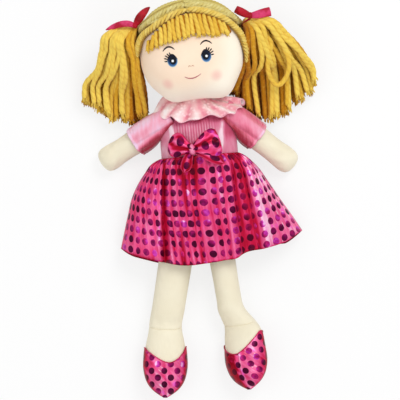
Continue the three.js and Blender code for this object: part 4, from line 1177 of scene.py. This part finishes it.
# leg and foot in one skin: the leg's turn gives way to the foot's across the ankle, where a seam is drawn in
def makeLeg(side):
    name = sideName[side]
    cols = 96
    along = np.concatenate([np.linspace(-12.6, 96, 60), np.linspace(97, 132, 90),
                            np.linspace(133, 184.6, 60)])
    grid = ovalRings(legRows[side], along, cols)
    around = fullTurn(cols)[None]
    seam = 0.4 * sideSeams(around)
    sag = crease + 2.2 * smooth(0.2, 1.0, np.sin(around))
    drawn = 0.9 * bell(along[:, None], sag, 1.2) * smooth(-0.2, 0.5, np.sin(around))
    pucker = 0.3 * bell(along, crease - 5, 4)[:, None] * np.cos(9 * around)
    grid = grid * (1 - (seam + pucker + drawn)[..., None] / 14 * np.array([0.6, 0, 1]))
    y = grid[..., 1]
    grid[..., 1] = np.where(y > crease, crease + (y - crease) * limbs[side]["sole"], y)
    leg, foot, hip, ankle = legTurns(side)
    grid = grid * np.array([1, -1, 1])
    onLeg = grid @ leg.T + hip
    onFoot = (grid + np.array([0, crease, 0])) @ foot.T + ankle
    share = smooth(crease - 20, crease + 9, along)[:, None, None]
    placed = mix(onLeg, onFoot, share)
    placed[..., 2] = np.maximum(placed[..., 2], 0.9)
    piece = ringBody(name + "_leg_skin", placed, bodyCloth)
    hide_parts(name + "_leg_cover", name + "_leg_stuffing", name + "_foot_cover",
                name + "_foot_stuffing")
    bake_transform(piece)
    row = np.argmin(np.abs(along[:, None] - sag), axis=0)
    shown = np.flatnonzero(np.sin(around[0]) > 0.3)
    line = placed[row[shown], shown][None]
    thread = yarnPiece(name + "_ankle_stitch", line, 0.3, seamThread, upward, "stitch")
    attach(thread, "foot_" + name)


# slipper: rings from its slanted opening to the toe, drawn in along the middle seam
def makeSlipper(side):
    name = sideName[side]
    cols = 168
    around = np.linspace(-0.5 * np.pi, 1.5 * np.pi, cols, endpoint=False)[None]
    t = np.linspace(0, 1, 90)[:, None] ** 0.9
    front = np.sin(around) > 0
    across = np.cos(around)
    cut = opening[side]
    aside = across - cut["aside"] * (1 - across ** 2)
    dip = 15.0 * np.clip(1 - np.abs(aside / 0.98) ** 1.7, 0, 1) * front
    edge = cut["place"] - cut["slant"] * across - 1.2 * bell(np.abs(across), 1, 0.12) + dip
    along = mix(edge, slipper["toe"], t)
    half = np.maximum(through(shoeRows, along), through(legRows[side], along + crease) + 0.9)
    groove = 0.9 * np.exp(-((across * half[..., 0]) / 0.8) ** 2) * np.where(front, 1, 0.3)
    x = half[..., 0] * across
    z = (half[..., 1] - groove) * np.sin(around)
    grid = np.stack([x, -along * limbs[side]["sole"], z], axis=-1)
    rim = np.linalg.norm(np.diff(closedRound(grid), axis=1)[..., ::2], axis=-1)
    reach = np.concatenate([np.zeros((len(t), 1)), np.cumsum(rim, axis=1)], axis=1)
    reach = reach - reach[:, cols // 2:cols // 2 + 1]
    long = closedRound(along)
    # the cloth is cut on the bias, so the rows of dots run at 45 degrees
    slant = slipper["dotPitch"] * math.sqrt(2)
    uv = np.stack([(reach + long) / slant + 40.2, (long - reach) / slant + 40.3], axis=-1)
    placed = footPlace(side, grid)
    placed[..., 2] = np.maximum(placed[..., 2], 0.05)
    # painted light on the ridges and beside the middle seam, painted shade down the sides and underneath, on
    # the left slipper mostly its inner side
    ridge = bell(across, -0.3, 0.22) + 0.8 * bell(across, 0.45, 0.2)
    shade = smooth(0.72, 1.0, np.abs(across))
    if side > 0:
        ridge = bell(across, 0.62, 0.22)
        shade = smooth(-0.02, -0.3, across) + 0.3 * smooth(0.85, 1.0, across)
    fold = 0.5 + 0.3 * ridge * front - 0.5 * shade - 0.2 * ~front
    fold = fold + 0.25 * np.exp(-((across * half[..., 0] - 2) / 1.4) ** 2) * front
    piece = clothPiece(name + "_slipper", placed, slipper["thick"], dottedFoil, uv, True, 1, fold)
    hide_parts(name + "_slipper_inner", name + "_slipper_outer")
    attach(piece, "foot_" + name)
    lip = np.concatenate([placed[0], placed[0, :2]])
    outward = unit(lip - placed[0].mean(axis=0))
    edge = slipper["edge"]
    trim = yarnPiece(name + "_slipper_edge", lip[None], edge, roseRibbon, outward[None], "slipperEdge")
    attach(trim, "foot_" + name)


makeTorso()
for limbSide in (-1, 1):
    makeArm(limbSide)
    makeLeg(limbSide)
    makeSlipper(limbSide)
print("body done")


# dress
clothThick = 0.8
bodice = {"top": 30.5, "bottom": -16.0, "grow": 1.6, "pleat": 0.4, "pleatWidth": 2.7}
bodiceRows = ((-20, 37.4, 22.8), (-15.2, 37.2, 23), (5.1, 36.4, 22.5), (14, 34.6, 19.6), (20, 32.6, 17.4),
              (25, 29.5, 15.2), (28.5, 25, 13.4), (31, 19, 12.2))


# bodice: oval rings a little outside the torso, pleated down the middle of the front
def makeBodice():
    rows, cols = 110, 260
    places = np.linspace(bodice["top"], bodice["bottom"], rows)
    grid = ovalRings(bodiceRows, places, cols, bodice["grow"])
    x, y, z = grid[..., 0], grid[..., 1], grid[..., 2]
    front = smooth(0, 8, z)
    middle = smooth(24, 15, np.abs(x + 4))
    stripes = 2 * np.pi * (x + 0.06 * y * np.sign(x)) / bodice["pleatWidth"]
    pleats = bodice["pleat"] * np.cos(stripes) * middle * front
    # two raised bands run down from the shoulders towards the waist
    bandPlace = np.where(x < 0, -27 - 0.10 * (y - 20), 26 + 0.16 * (y - 20))
    band = bell(x, bandPlace, 2.6) * front * smooth(-16, -6, y) * smooth(22, 16, y)
    grid[..., 2] = np.maximum(z + pleats + 0.9 * band, -torsoMiddle + 0.1)
    # painted light and shade: pleats light on their ridges and dark between, the raised bands lit, darker
    # across the top, lighter at the doll's right side and shaded at its left side
    top = smooth(13, 20, y)
    fold = 0.62 - 0.24 * top + 0.26 * np.cos(2 * np.pi * x / bodice["pleatWidth"]) * middle * (1 - top)
    fold = fold + 0.55 * band + 0.12 * smooth(-20, -32, x) - 0.3 * smooth(20, 30, x) * smooth(-4, 6, y)
    uv = evenUv((0, 20), cols + 1, (0, 4), rows)
    grid[..., 2] += torsoMiddle
    piece = clothPiece("bodice", grid, clothThick, bodiceSatin, uv, True, 1, fold)
    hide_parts("bodice_front", "bodice_back")
    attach(piece, "torso")


# bright is the painted light of each sleeve's upper side, under the painted shade on its lower side
sleeve = {"length": 30.0, "root": 12.4, "hem": 15.2, "puff": 1.6, "bright": {-1: 0.87, 1: 0.56},
          "under": {-1: 0.62, 1: 0.36}, "tuck": {-1: 4.0, 1: 0.0}}


# how far out the bodice's side stands at a height and depth
def bodiceSide(y, z):
    half = through(bodiceRows, y) + bodice["grow"]
    return half[..., 0] * np.sqrt(np.maximum(0.1, 1 - (z / half[..., 1]) ** 2))


# sleeve: a puffed tube round the arm; its root is moved along the arm in steps until it meets the bodice
def makeSleeve(side):
    name = sideName[side]
    rows, cols = 70, 140
    around = fullTurn(cols)[None]
    t = np.linspace(0, 1, rows)[:, None]
    folds = 0.8 * t * np.cos(5 * around + 0.8) + 0.4 * t * np.cos(11 * around + 2.0)
    # a crease from the armpit to the hem, on the lower side of the front
    lower = np.cos(around) * -side
    pinch = -1.5 * bell(lower, 0.42 - 0.2 * t, 0.13) * (np.sin(around) > 0) * smooth(0.0, 0.4, t)
    half = mix(sleeve["root"], sleeve["hem"], t) + sleeve["puff"] * np.sin(np.pi * t ** 0.8)
    half = half + folds + pinch
    half = half - 0.5 * bell(t, 0.88, 0.02) - 0.35 * bell(t, 0.94, 0.015)
    start = np.zeros((1, cols))
    for _ in range(16):
        root = np.stack([sleeve["root"] * np.cos(around), -start, sleeve["root"] * np.sin(around)], axis=-1)
        p = armPlace(side, root)
        start = start + 0.7 * (bodiceSide(p[..., 1], p[..., 2] - torsoMiddle) - 0.4 - side * p[..., 0])
    start = np.clip(start - sleeve["tuck"][side] * smooth(0.1, 0.8, np.sin(around)), -17.0, 20.0)
    along = mix(start, sleeve["length"], t)
    grid = armPlace(side, np.stack([half * np.cos(around), -along, half * np.sin(around)], axis=-1))
    grid[..., 2] = np.maximum(grid[..., 2], 0.3)
    uv = evenUv((0, 9), cols + 1, (0, 3), rows)
    # painted shade on the lower side, painted light on the upper side, on the fold ridges and in a band at
    # the hem
    under = sleeve["under"][side] * smooth(0.3, 0.62, lower + 0.2 * (1 - t))
    fold = sleeve["bright"][side] - under + 0.15 * np.cos(5 * around + 0.8) * t
    fold = fold + 0.25 * bell(t, 0.97, 0.03)
    piece = clothPiece(name + "_sleeve_cloth", grid, clothThick, sleeveSatin, uv, True, 1, fold)
    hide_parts(name + "_sleeve")
    pivot, turn = armTurn(side)
    reach = turn @ np.array([0, -1.0, 0])
    start, end = pivot - 4 * reach, pivot + 14 * reach
    tuple(start * mm)
    tuple(end * mm)
    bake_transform(piece)


collar = {"inner": 14.0, "halfWidth": 44.5, "middle": 3.0, "halfDepth": 25.0, "level": 42.6,
          "stand": {-1: 12.5, 1: 2.0}, "flutes": 15, "flute": 2.2, "thick": 0.7, "edge": 0.55}
# lower edge of the ruffle across the front: place from side to side, height
collarEdge = ((-46, 37), (-43, 33.5), (-41, 30.6), (-35, 26.4), (-25, 24.6), (-16, 19.8), (-6, 19.6),
              (6, 22.4), (18, 23), (28, 21.6), (37, 24.4), (41, 25.8), (44, 28.4), (46.5, 33), (48.5, 38),
              (51, 40))


# collar: rings from the neck out to the edge, fluted more and more on the way
def makeCollar():
    rows, cols = 50, 360
    around = fullTurn(cols)[None]
    t = np.linspace(0, 1, rows)[:, None]
    deep = np.abs(np.sin(around))
    turn = collar["flutes"] * around + 0.9 * np.sin(2 * around)
    swell = t * np.cos(turn + 0.5)
    wide = mix(collar["inner"], collar["halfWidth"], t) + collar["flute"] * swell * (1 - deep)
    x = collar["middle"] * t + wide * np.cos(around)
    z = (mix(collar["inner"] - 2, collar["halfDepth"], t) + collar["flute"] * swell * deep) * np.sin(around)
    z = z + 0.8 * t * np.cos(26 * around) * (1 - t) * deep
    # it rides over the head of the left sleeve
    z = z + 5.0 * smooth(0.3, 0.8, t) * bell(np.cos(around), 0.8, 0.16) * (np.sin(around) > 0)
    edge = through(collarEdge, collar["middle"] + collar["halfWidth"] * np.cos(around[0]))[:, 0][None]
    edge = np.where(np.sin(around) > 0, edge, mix(31.0, edge, np.exp(-4 * deep)))
    y = mix(collar["level"], edge, t ** 0.75) + t * np.sin(turn) * mix(3.0, 1.1, deep ** 0.5)
    # at both sides of the neck the ruffle stands up
    stand = np.where(np.cos(around) < 0, collar["stand"][-1], collar["stand"][1])
    y = y + stand * np.sin(np.pi * t ** 1.3) * (1 - deep) ** 1.2
    grid = np.stack([x, y, np.maximum(z, 0.4 - torsoMiddle)], axis=-1) + np.array([0, 0, torsoMiddle])
    uv = evenUv((0, 20), cols + 1, (0, 3), rows)
    # painted light on the ridges of the flutes, painted shade in their hollows and towards the neck
    fold = 0.5 + 0.45 * np.cos(turn + 0.5) * t ** 0.6 - 0.3 * (1 - t)
    piece = clothPiece("collar_cloth", grid, collar["thick"], paleOrganza, uv, True, -1, fold)
    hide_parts("collar_ruffle")
    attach(piece, "torso")
    rim = np.concatenate([grid[-1], grid[-1, :2]])[None]
    trim = yarnPiece("collar_edge", rim, collar["edge"], paleTrim, upward, "collarEdge")
    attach(trim, "torso")


skirt = {"top": -15.5, "waistDepth": 25.0, "backDrop": 96.0, "hemHeight": 47.0, "sideHeight": 9.0,
         "columns": 21, "dotPitch": 10.5}
# sides of the skirt down its length: share of the length, reach to the doll's right and left
skirtSides = ((0.0, 40.5, 39.5), (0.04, 47.5, 44.8), (0.15, 57, 54.5), (0.39, 71, 67.5), (0.63, 78.2, 79),
              (0.8, 82.8, 87.6), (1.0, 88, 97))
# height of the hem across the front
hemLine = ((-88, -102), (-77.5, -108), (-65, -112.8), (-44, -119.6), (-26, -123.8), (-1, -123.6),
           (16, -122.2), (29.5, -120.6), (34, -118), (58, -113.8), (81, -108), (92, -101.8), (97, -99.5))
# folds of the front: place across at waist and hem, height at the hem, painted light from a shaded valley 0
# to a lit ridge 1, and how much cloth, in dots, is tucked away behind it
foldLines = (
    (-41, -88, 0, 0.5, 0), (-40.2, -78, 0.5, 0.62, 0), (-39.6, -72, -0.4, 0.42, 0.15),
    (-38.8, -62, 0.9, 0.66, 0), (-38, -55, -0.3, 0.48, 0.15), (-37.2, -49, 1.2, 0.85, 0),
    (-36.4, -44.4, -5.6, 0.0, 0.6), (-35.6, -41, -2.4, 0.1, 0), (-33, -36.5, 2.6, 0.8, 0),
    (-30.5, -33, -1.2, 0.3, 0.3), (-28, -29.5, 2.2, 0.8, 0), (-24.5, -25, -2.0, 0.18, 0.4),
    (-21.5, -21.8, 1.4, 0.7, 0), (-18.2, -18.4, -2.4, 0.1, 0.4), (-15, -15, 1.3, 0.66, 0),
    (-11.8, -11.6, -1.4, 0.3, 0.25), (-9, -8.6, 1.2, 0.62, 0), (-6, -5.4, -2.2, 0.12, 0.35),
    (-3, -2.4, 1.4, 0.72, 0), (1, 1, 1.2, 0.56, 0), (6, 6, 1.5, 0.54, 0), (10.5, 12, 1.2, 0.56, 0),
    (13.5, 16, -1.2, 0.3, 0.3), (16, 19.6, 2.2, 0.95, 0), (19, 22.8, -1.4, 0.28, 0.3),
    (23, 26, 2.6, 0.72, 0), (28, 31, 1.4, 0.66, 0), (30, 34, -5.0, 0.24, 0.7), (33.5, 42, -6.6, 0.3, 0),
    (37, 51, -5.6, 0.14, 0.5), (40.4, 57, 1.2, 0.55, 0), (43, 60.5, 3.8, 0.95, 0),
    (44.5, 70, 1.6, 0.66, 0), (45, 82, 0.4, 0.85, 0), (45.6, 98, 0, 0.6, 0))


# gathered skirt: waist oval opening to a wide hem, front raised by the legs, back flat on the table
def skirtSurface(angle, t):
    sine = np.sin(angle)
    flare = t ** 0.6
    sides = through(skirtSides, t[:, 0])
    centre, half = (sides[:, 1:] - sides[:, :1]) / 2, (sides[:, :1] + sides[:, 1:]) / 2
    lastX = (sides[-1, 1] - sides[-1, 0]) / 2 + half[-1] * np.cos(angle)
    seam = mix(torsoMiddle, skirt["sideHeight"], flare)
    front = mix(skirt["waistDepth"], skirt["hemHeight"] - skirt["sideHeight"], flare)
    back = mix(skirt["waistDepth"], 1.1 * skirt["sideHeight"], flare)
    high = np.where(sine > 0, front * np.abs(sine) ** 0.85, -back * np.abs(sine) ** 0.6)
    hem = through(hemLine, lastX)[..., 0]
    behind = np.maximum(skirt["top"] - skirt["backDrop"] - 9 * smooth(-36, -46, lastX), hem - 2.6)
    drop = skirt["top"] - mix(hem, behind, smooth(0.0, 0.5, -sine))
    return np.stack([centre + half * np.cos(angle), skirt["top"] - t * drop, seam + high], axis=-1)


# height and painted light of the folds at each place, straight between the fold lines with rounded corners,
# and the cloth tucked away up to there
def skirtFolds(x, t):
    lines = np.array(foldLines)
    each = np.arange(len(lines))[None]
    wander = np.sin(5.2 * t + 2.4 * each) * t * (1 - t)
    spots = mix(lines[None, :, 0], lines[None, :, 1], t ** 0.75) + 4.0 * wander
    swell = np.where(np.abs(lines[:, 2]) > 3, 1.0, 0.68 + 0.42 * np.sin(6.3 * t + 1.9 * each))
    height = lines[None, :, 2] * swell
    foldLight = 0.5 + (lines[None, :, 3] - 0.5) * swell
    made = [[np.interp(x[k], spots[k], level[k]) for k in range(len(x))] for level in (height, foldLight)]
    made = np.stack(made, axis=-1)
    for _ in range(2):
        made[:, 1:-1] = (made[:, :-2] + 2 * made[:, 1:-1] + made[:, 2:]) / 4
    tucks = np.flatnonzero(lines[:, 4])
    tucked = sum(lines[k, 4] * smooth(-0.9, 0.9, x - spots[:, k:k + 1]) for k in tucks)
    return made[..., 0] * smooth(0.0, 0.3, t), made[..., 1], tucked


# columns are even along the hem, and drawn towards the sides at the waist
def makeSkirt():
    hemAngle = np.linspace(np.pi, 0, 2000)
    twice = np.broadcast_to(hemAngle[None], (2, len(hemAngle)))
    rim = skirtSurface(twice, np.array([[0.999], [1.0]]))[1]
    run = np.concatenate([[0], np.cumsum(np.linalg.norm(np.diff(rim, axis=0), axis=1))])
    frontCols, backCols, rows = 300, 106, 118
    u = np.linspace(0, 1, frontCols + 1)
    atHem = np.interp(u, run / run[-1], hemAngle)
    s = 2 * u - 1
    atWaist = np.pi / 2 - np.pi / 2 * np.sign(s) * (1 - (1 - np.abs(s)) ** 1.7)
    t = np.linspace(0, 1, rows)[:, None]
    front = mix(atWaist[None], atHem[None], t ** 0.7)
    backU = np.linspace(0, 1, backCols + 1)[1:-1]
    back = np.broadcast_to(-np.pi * backU[None], (rows, backCols - 1))
    angle = np.concatenate([front, back], axis=1)
    grid = skirtSurface(angle, t)
    sine = np.sin(angle)
    facing = smooth(0.0, 0.3, sine)
    height, foldLight, tucked = skirtFolds(grid[..., 0], t)
    grid[..., 2] += height * facing
    gathers = np.cos(44 * angle + 0.5 * np.sin(9 * angle)) * np.exp(-t / 0.09)
    grid[..., 2] += 0.9 * gathers * smooth(0, 0.02, t) * np.where(sine > 0, 1, 0.2)
    grid[..., 0] += 0.9 * gathers * smooth(0, 0.02, t) * np.cos(angle)
    # the hem is turned under
    grid[..., 2] -= 1.3 * smooth(0.965, 1.0, t) * facing
    grid[..., 2] = np.maximum(grid[..., 2], 0.1)
    # painted shade: the bow shades the cloth below it, and the cloth just under the waist is darker
    shade = 0.35 * bell(grid[..., 0], -12, 14) * bell(grid[..., 1], -30, 11) + 0.25 * np.exp(-t / 0.03)
    # painted light and shade of the folds and gathers, and painted shade at the turned hem
    fold = mix(0.4, foldLight, facing) + 0.15 * gathers - shade - 0.3 * smooth(0.98, 1.0, t)
    # more light reaches the left side
    fold = fold - 0.035 + 0.11 * smooth(25, 65, grid[..., 0])
    steps = np.linalg.norm(np.diff(grid, axis=0), axis=-1)
    down = np.concatenate([np.zeros((1, grid.shape[1])), np.cumsum(steps, axis=0)])
    across = np.concatenate([u * skirt["columns"], skirt["columns"] * (1 + backU), [2 * skirt["columns"]]])
    tucked = np.where(sine > -0.02, tucked, 0.0)
    uv = np.stack([across + closedRound(tucked) + 0.3, closedRound(down) / skirt["dotPitch"]], axis=-1)
    piece = clothPiece("skirt_cloth", grid, clothThick, dottedFoil, uv, True, -1, fold)
    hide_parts("skirt_front", "skirt_back")
    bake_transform(piece)


makeBodice()
for sleeveSide in (-1, 1):
    makeSleeve(sleeveSide)
makeCollar()
makeSkirt()
print("dress done")


# waist bow
bow = {"centre": (-7.0, -9.0, 56.5), "knot": (4.0, 5.4, 4.4), "puff": 5.5}
# each loop: where its end lies from the knot, its half height along the way, its range of painted light,
# and how many dots go round it
bowLoops = {
    "right": {"end": (-21.5, 8.0), "foldLight": (0.0, 0.72), "dots": 4.4,
              "half": ((0.0, 3.4), (0.3, 7.6), (0.65, 12.4), (0.88, 11.4), (1.0, 8.4))},
    "left": {"end": (27.0, 6.5), "foldLight": (0.1, 0.7), "dots": 5.4,
             "half": ((0.0, 3.8), (0.3, 8.8), (0.65, 13.6), (0.88, 14.0), (1.0, 12.0))}}
# each tail, as the ribbon ends: place, x, y, z, half width, cup
bowTails = {
    "right": ((0.0, -8.5, -12.0, 55.5, 2.4, 1.0), (0.3, -11.5, -17, 56, 4.2, 1.6),
              (0.7, -14.4, -24.5, 54.5, 5.2, 1.6), (0.92, -16.2, -29, 53, 3.4, 1.0),
              (1.0, -16.8, -31, 52.5, 0.8, 0.3)),
    "left": ((0.0, -3.5, -11.5, 55.5, 2.4, 1.0), (0.3, 4.5, -14, 56.4, 4.4, 1.6),
             (0.7, 14.5, -19.5, 54, 5.4, 1.6), (0.92, 20.5, -23.5, 52, 3.2, 1.0),
             (1.0, 23, -25.4, 51, 0.8, 0.3))}


# a loop of the bow: a puffed pocket growing from the knot, pleated where it is drawn in
def makeBowLoop(name):
    loop = bowLoops[name]
    end = np.array([*loop["end"], -4.0])
    rows, cols = 80, 120
    s = np.linspace(0, 1, rows)[:, None]
    around = fullTurn(cols)[None]
    half = through(loop["half"], s[:, 0])
    along = unit(end[:2])
    side = np.array([-along[1], along[0]])
    q = np.cos(around)
    thick = bow["puff"] * np.sin(np.pi * np.clip(0.1 + 0.82 * s, 0, 1)) ** 0.8 + 0.6
    pleat = np.cos(9 * q + 0.7 + 1.5 * s) * (1 - s) ** 0.6
    pleat = pleat + 0.7 * np.cos(5 * q + 4 * s + 1.3 * np.sin(7 * s))
    pleat = pleat + 0.3 * np.cos(13 * q - 9 * s + 2.0 * np.sin(5 * s)) * s
    z = np.sign(np.sin(around)) * np.abs(np.sin(around)) ** 0.85 * thick + pleat * np.abs(np.sin(around))
    bulge = 1.6 * (1 - q * q) * s
    flat = end[:2] * s[..., None] + side * (q * half)[..., None] + along * bulge[..., None]
    grid = np.concatenate([flat, (z + end[2] * s)[..., None]], axis=-1) + np.array(bow["centre"])
    span = np.linalg.norm(end[:2]) / skirt["dotPitch"]
    uv = evenUv((0.1, loop["dots"] + 0.1), cols + 1, (0.3, 0.3 + span), rows)
    low, high = loop["foldLight"]
    # painted light on the pleats' ridges, painted shade in their hollows and next to the knot
    fold = np.clip(mix(low, high, 0.5 + 0.45 * pleat), 0, 1) - 0.35 * np.exp(-s / 0.12)
    piece = ringBody(name + "_bow_loop_cloth", grid, dottedFoil, uv, np.zeros(rows * cols), fold)
    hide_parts("bow_" + name + "_loop")
    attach(piece, "torso")


# loops, tails with an edge of ribbon, and the knot
def makeBow():
    steps, across = 60, 25
    for name in ("right", "left"):
        makeBowLoop(name)
        grid = stripGrid(bowTails[name], across, steps)
        uv = evenUv((0, 1.1), across, (0.2, 2.1), steps)
        # painted light and shade across each tail
        fold = np.broadcast_to(0.35 + 0.2 * np.cos(np.linspace(-5, 5, across)), (steps, across))
        piece = clothPiece(name + "_bow_tail_cloth", grid, clothThick, dottedFoil, uv, False, 1, fold)
        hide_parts("bow_" + name + "_tail")
        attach(piece, "torso")
        rim = np.concatenate([grid[:, 0], grid[-1, 1:], grid[-2::-1, -1]])[None]
        trim = yarnPiece(name + "_bow_tail_edge", rim, 0.4, roseRibbon, upward, "bowEdge")
        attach(trim, "torso")
        clothArea(grid) * mm * mm
    knot = makeKnot("bow_knot_cloth", bow["centre"], bow["knot"], 8.0, knotSatin, "torso", 3)
    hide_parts("bow_knot")


makeBow()
print("bow done")


# floor and light, in metres
floor = {"half": 4, "level": -0.0003, "glow": 0.75}
skyLevel = 0.6
lamps = (("key", (0.8, 0.9, 1.5), 0.9, 14.6), ("fill", (0.4, -1.2, 1.5), 1.3, 6.0),
         ("side", (-1.1, 0, 1.4), 1.3, 5.0))  # name, place, size, power
lampsAim = (0, -0.06, 0.03)


# 1 for a ray of one of these kinds
def raySeen(start, *kinds):
    seen = [start.node("ShaderNodeLightPath", None, None, "Is " + kind + " Ray") for kind in kinds]
    return sum(seen[1:], seen[0])


# paper that shows white and still takes the doll's shadow
def makeStage():
    mesh = bpy.data.meshes.new("floor")
    half, level = floor["half"], floor["level"]
    corners = [(x * half, y * half, level) for x, y in ((-1, -1), (1, -1), (1, 1), (-1, 1))]
    mesh.from_pydata(corners, [], [(0, 1, 2, 3)])
    sheet = bpy.data.objects.new("floor", mesh)
    bpy.context.scene.collection.objects.link(sheet)
    material = bpy.data.materials.new("palePaper")
    material.use_nodes = True
    tree = material.node_tree
    shader = tree.nodes["Principled BSDF"]
    shader.inputs["Base Color"].default_value = (0.9, 0.9, 0.9, 1)
    shader.inputs["Roughness"].default_value = 0.9
    start = Wire(tree)
    share = raySeen(start, "Camera", "Glossy", "Transmission") * floor["glow"]
    white = start.node("ShaderNodeEmission", None, {"Color": (1, 1, 1, 1), "Strength": 1.0})
    both = start.node("ShaderNodeMixShader", None, {0: share, 1: Wire(tree, shader.outputs[0]), 2: white})
    tree.links.new(both.socket, tree.nodes["Material Output"].inputs["Surface"])
    mesh.materials.append(material)


# an even sky and three soft lamps
def makeLight():
    world = bpy.data.worlds.new("studio")
    bpy.context.scene.world = world
    world.use_nodes = True
    tree = world.node_tree
    start = Wire(tree)
    seen = raySeen(start, "Camera", "Transmission").then("MINIMUM", 1.0)
    level = skyLevel + (1 - skyLevel) * seen
    sky = start.node("ShaderNodeBackground", None, {"Color": (1, 1, 1, 1), "Strength": level})
    tree.links.new(sky.socket, tree.nodes["World Output"].inputs["Surface"])
    for name, place, size, power in lamps:
        data = bpy.data.lights.new(name, "AREA")
        data.size = size
        data.energy = power
        lamp = bpy.data.objects.new(name, data)
        lamp.location = place
        aim = Vector(place) - Vector(lampsAim)
        lamp.rotation_euler = aim.to_track_quat("Z", "Y").to_euler()
        bpy.context.scene.collection.objects.link(lamp)


makeStage()
makeLight()
print("stage done")
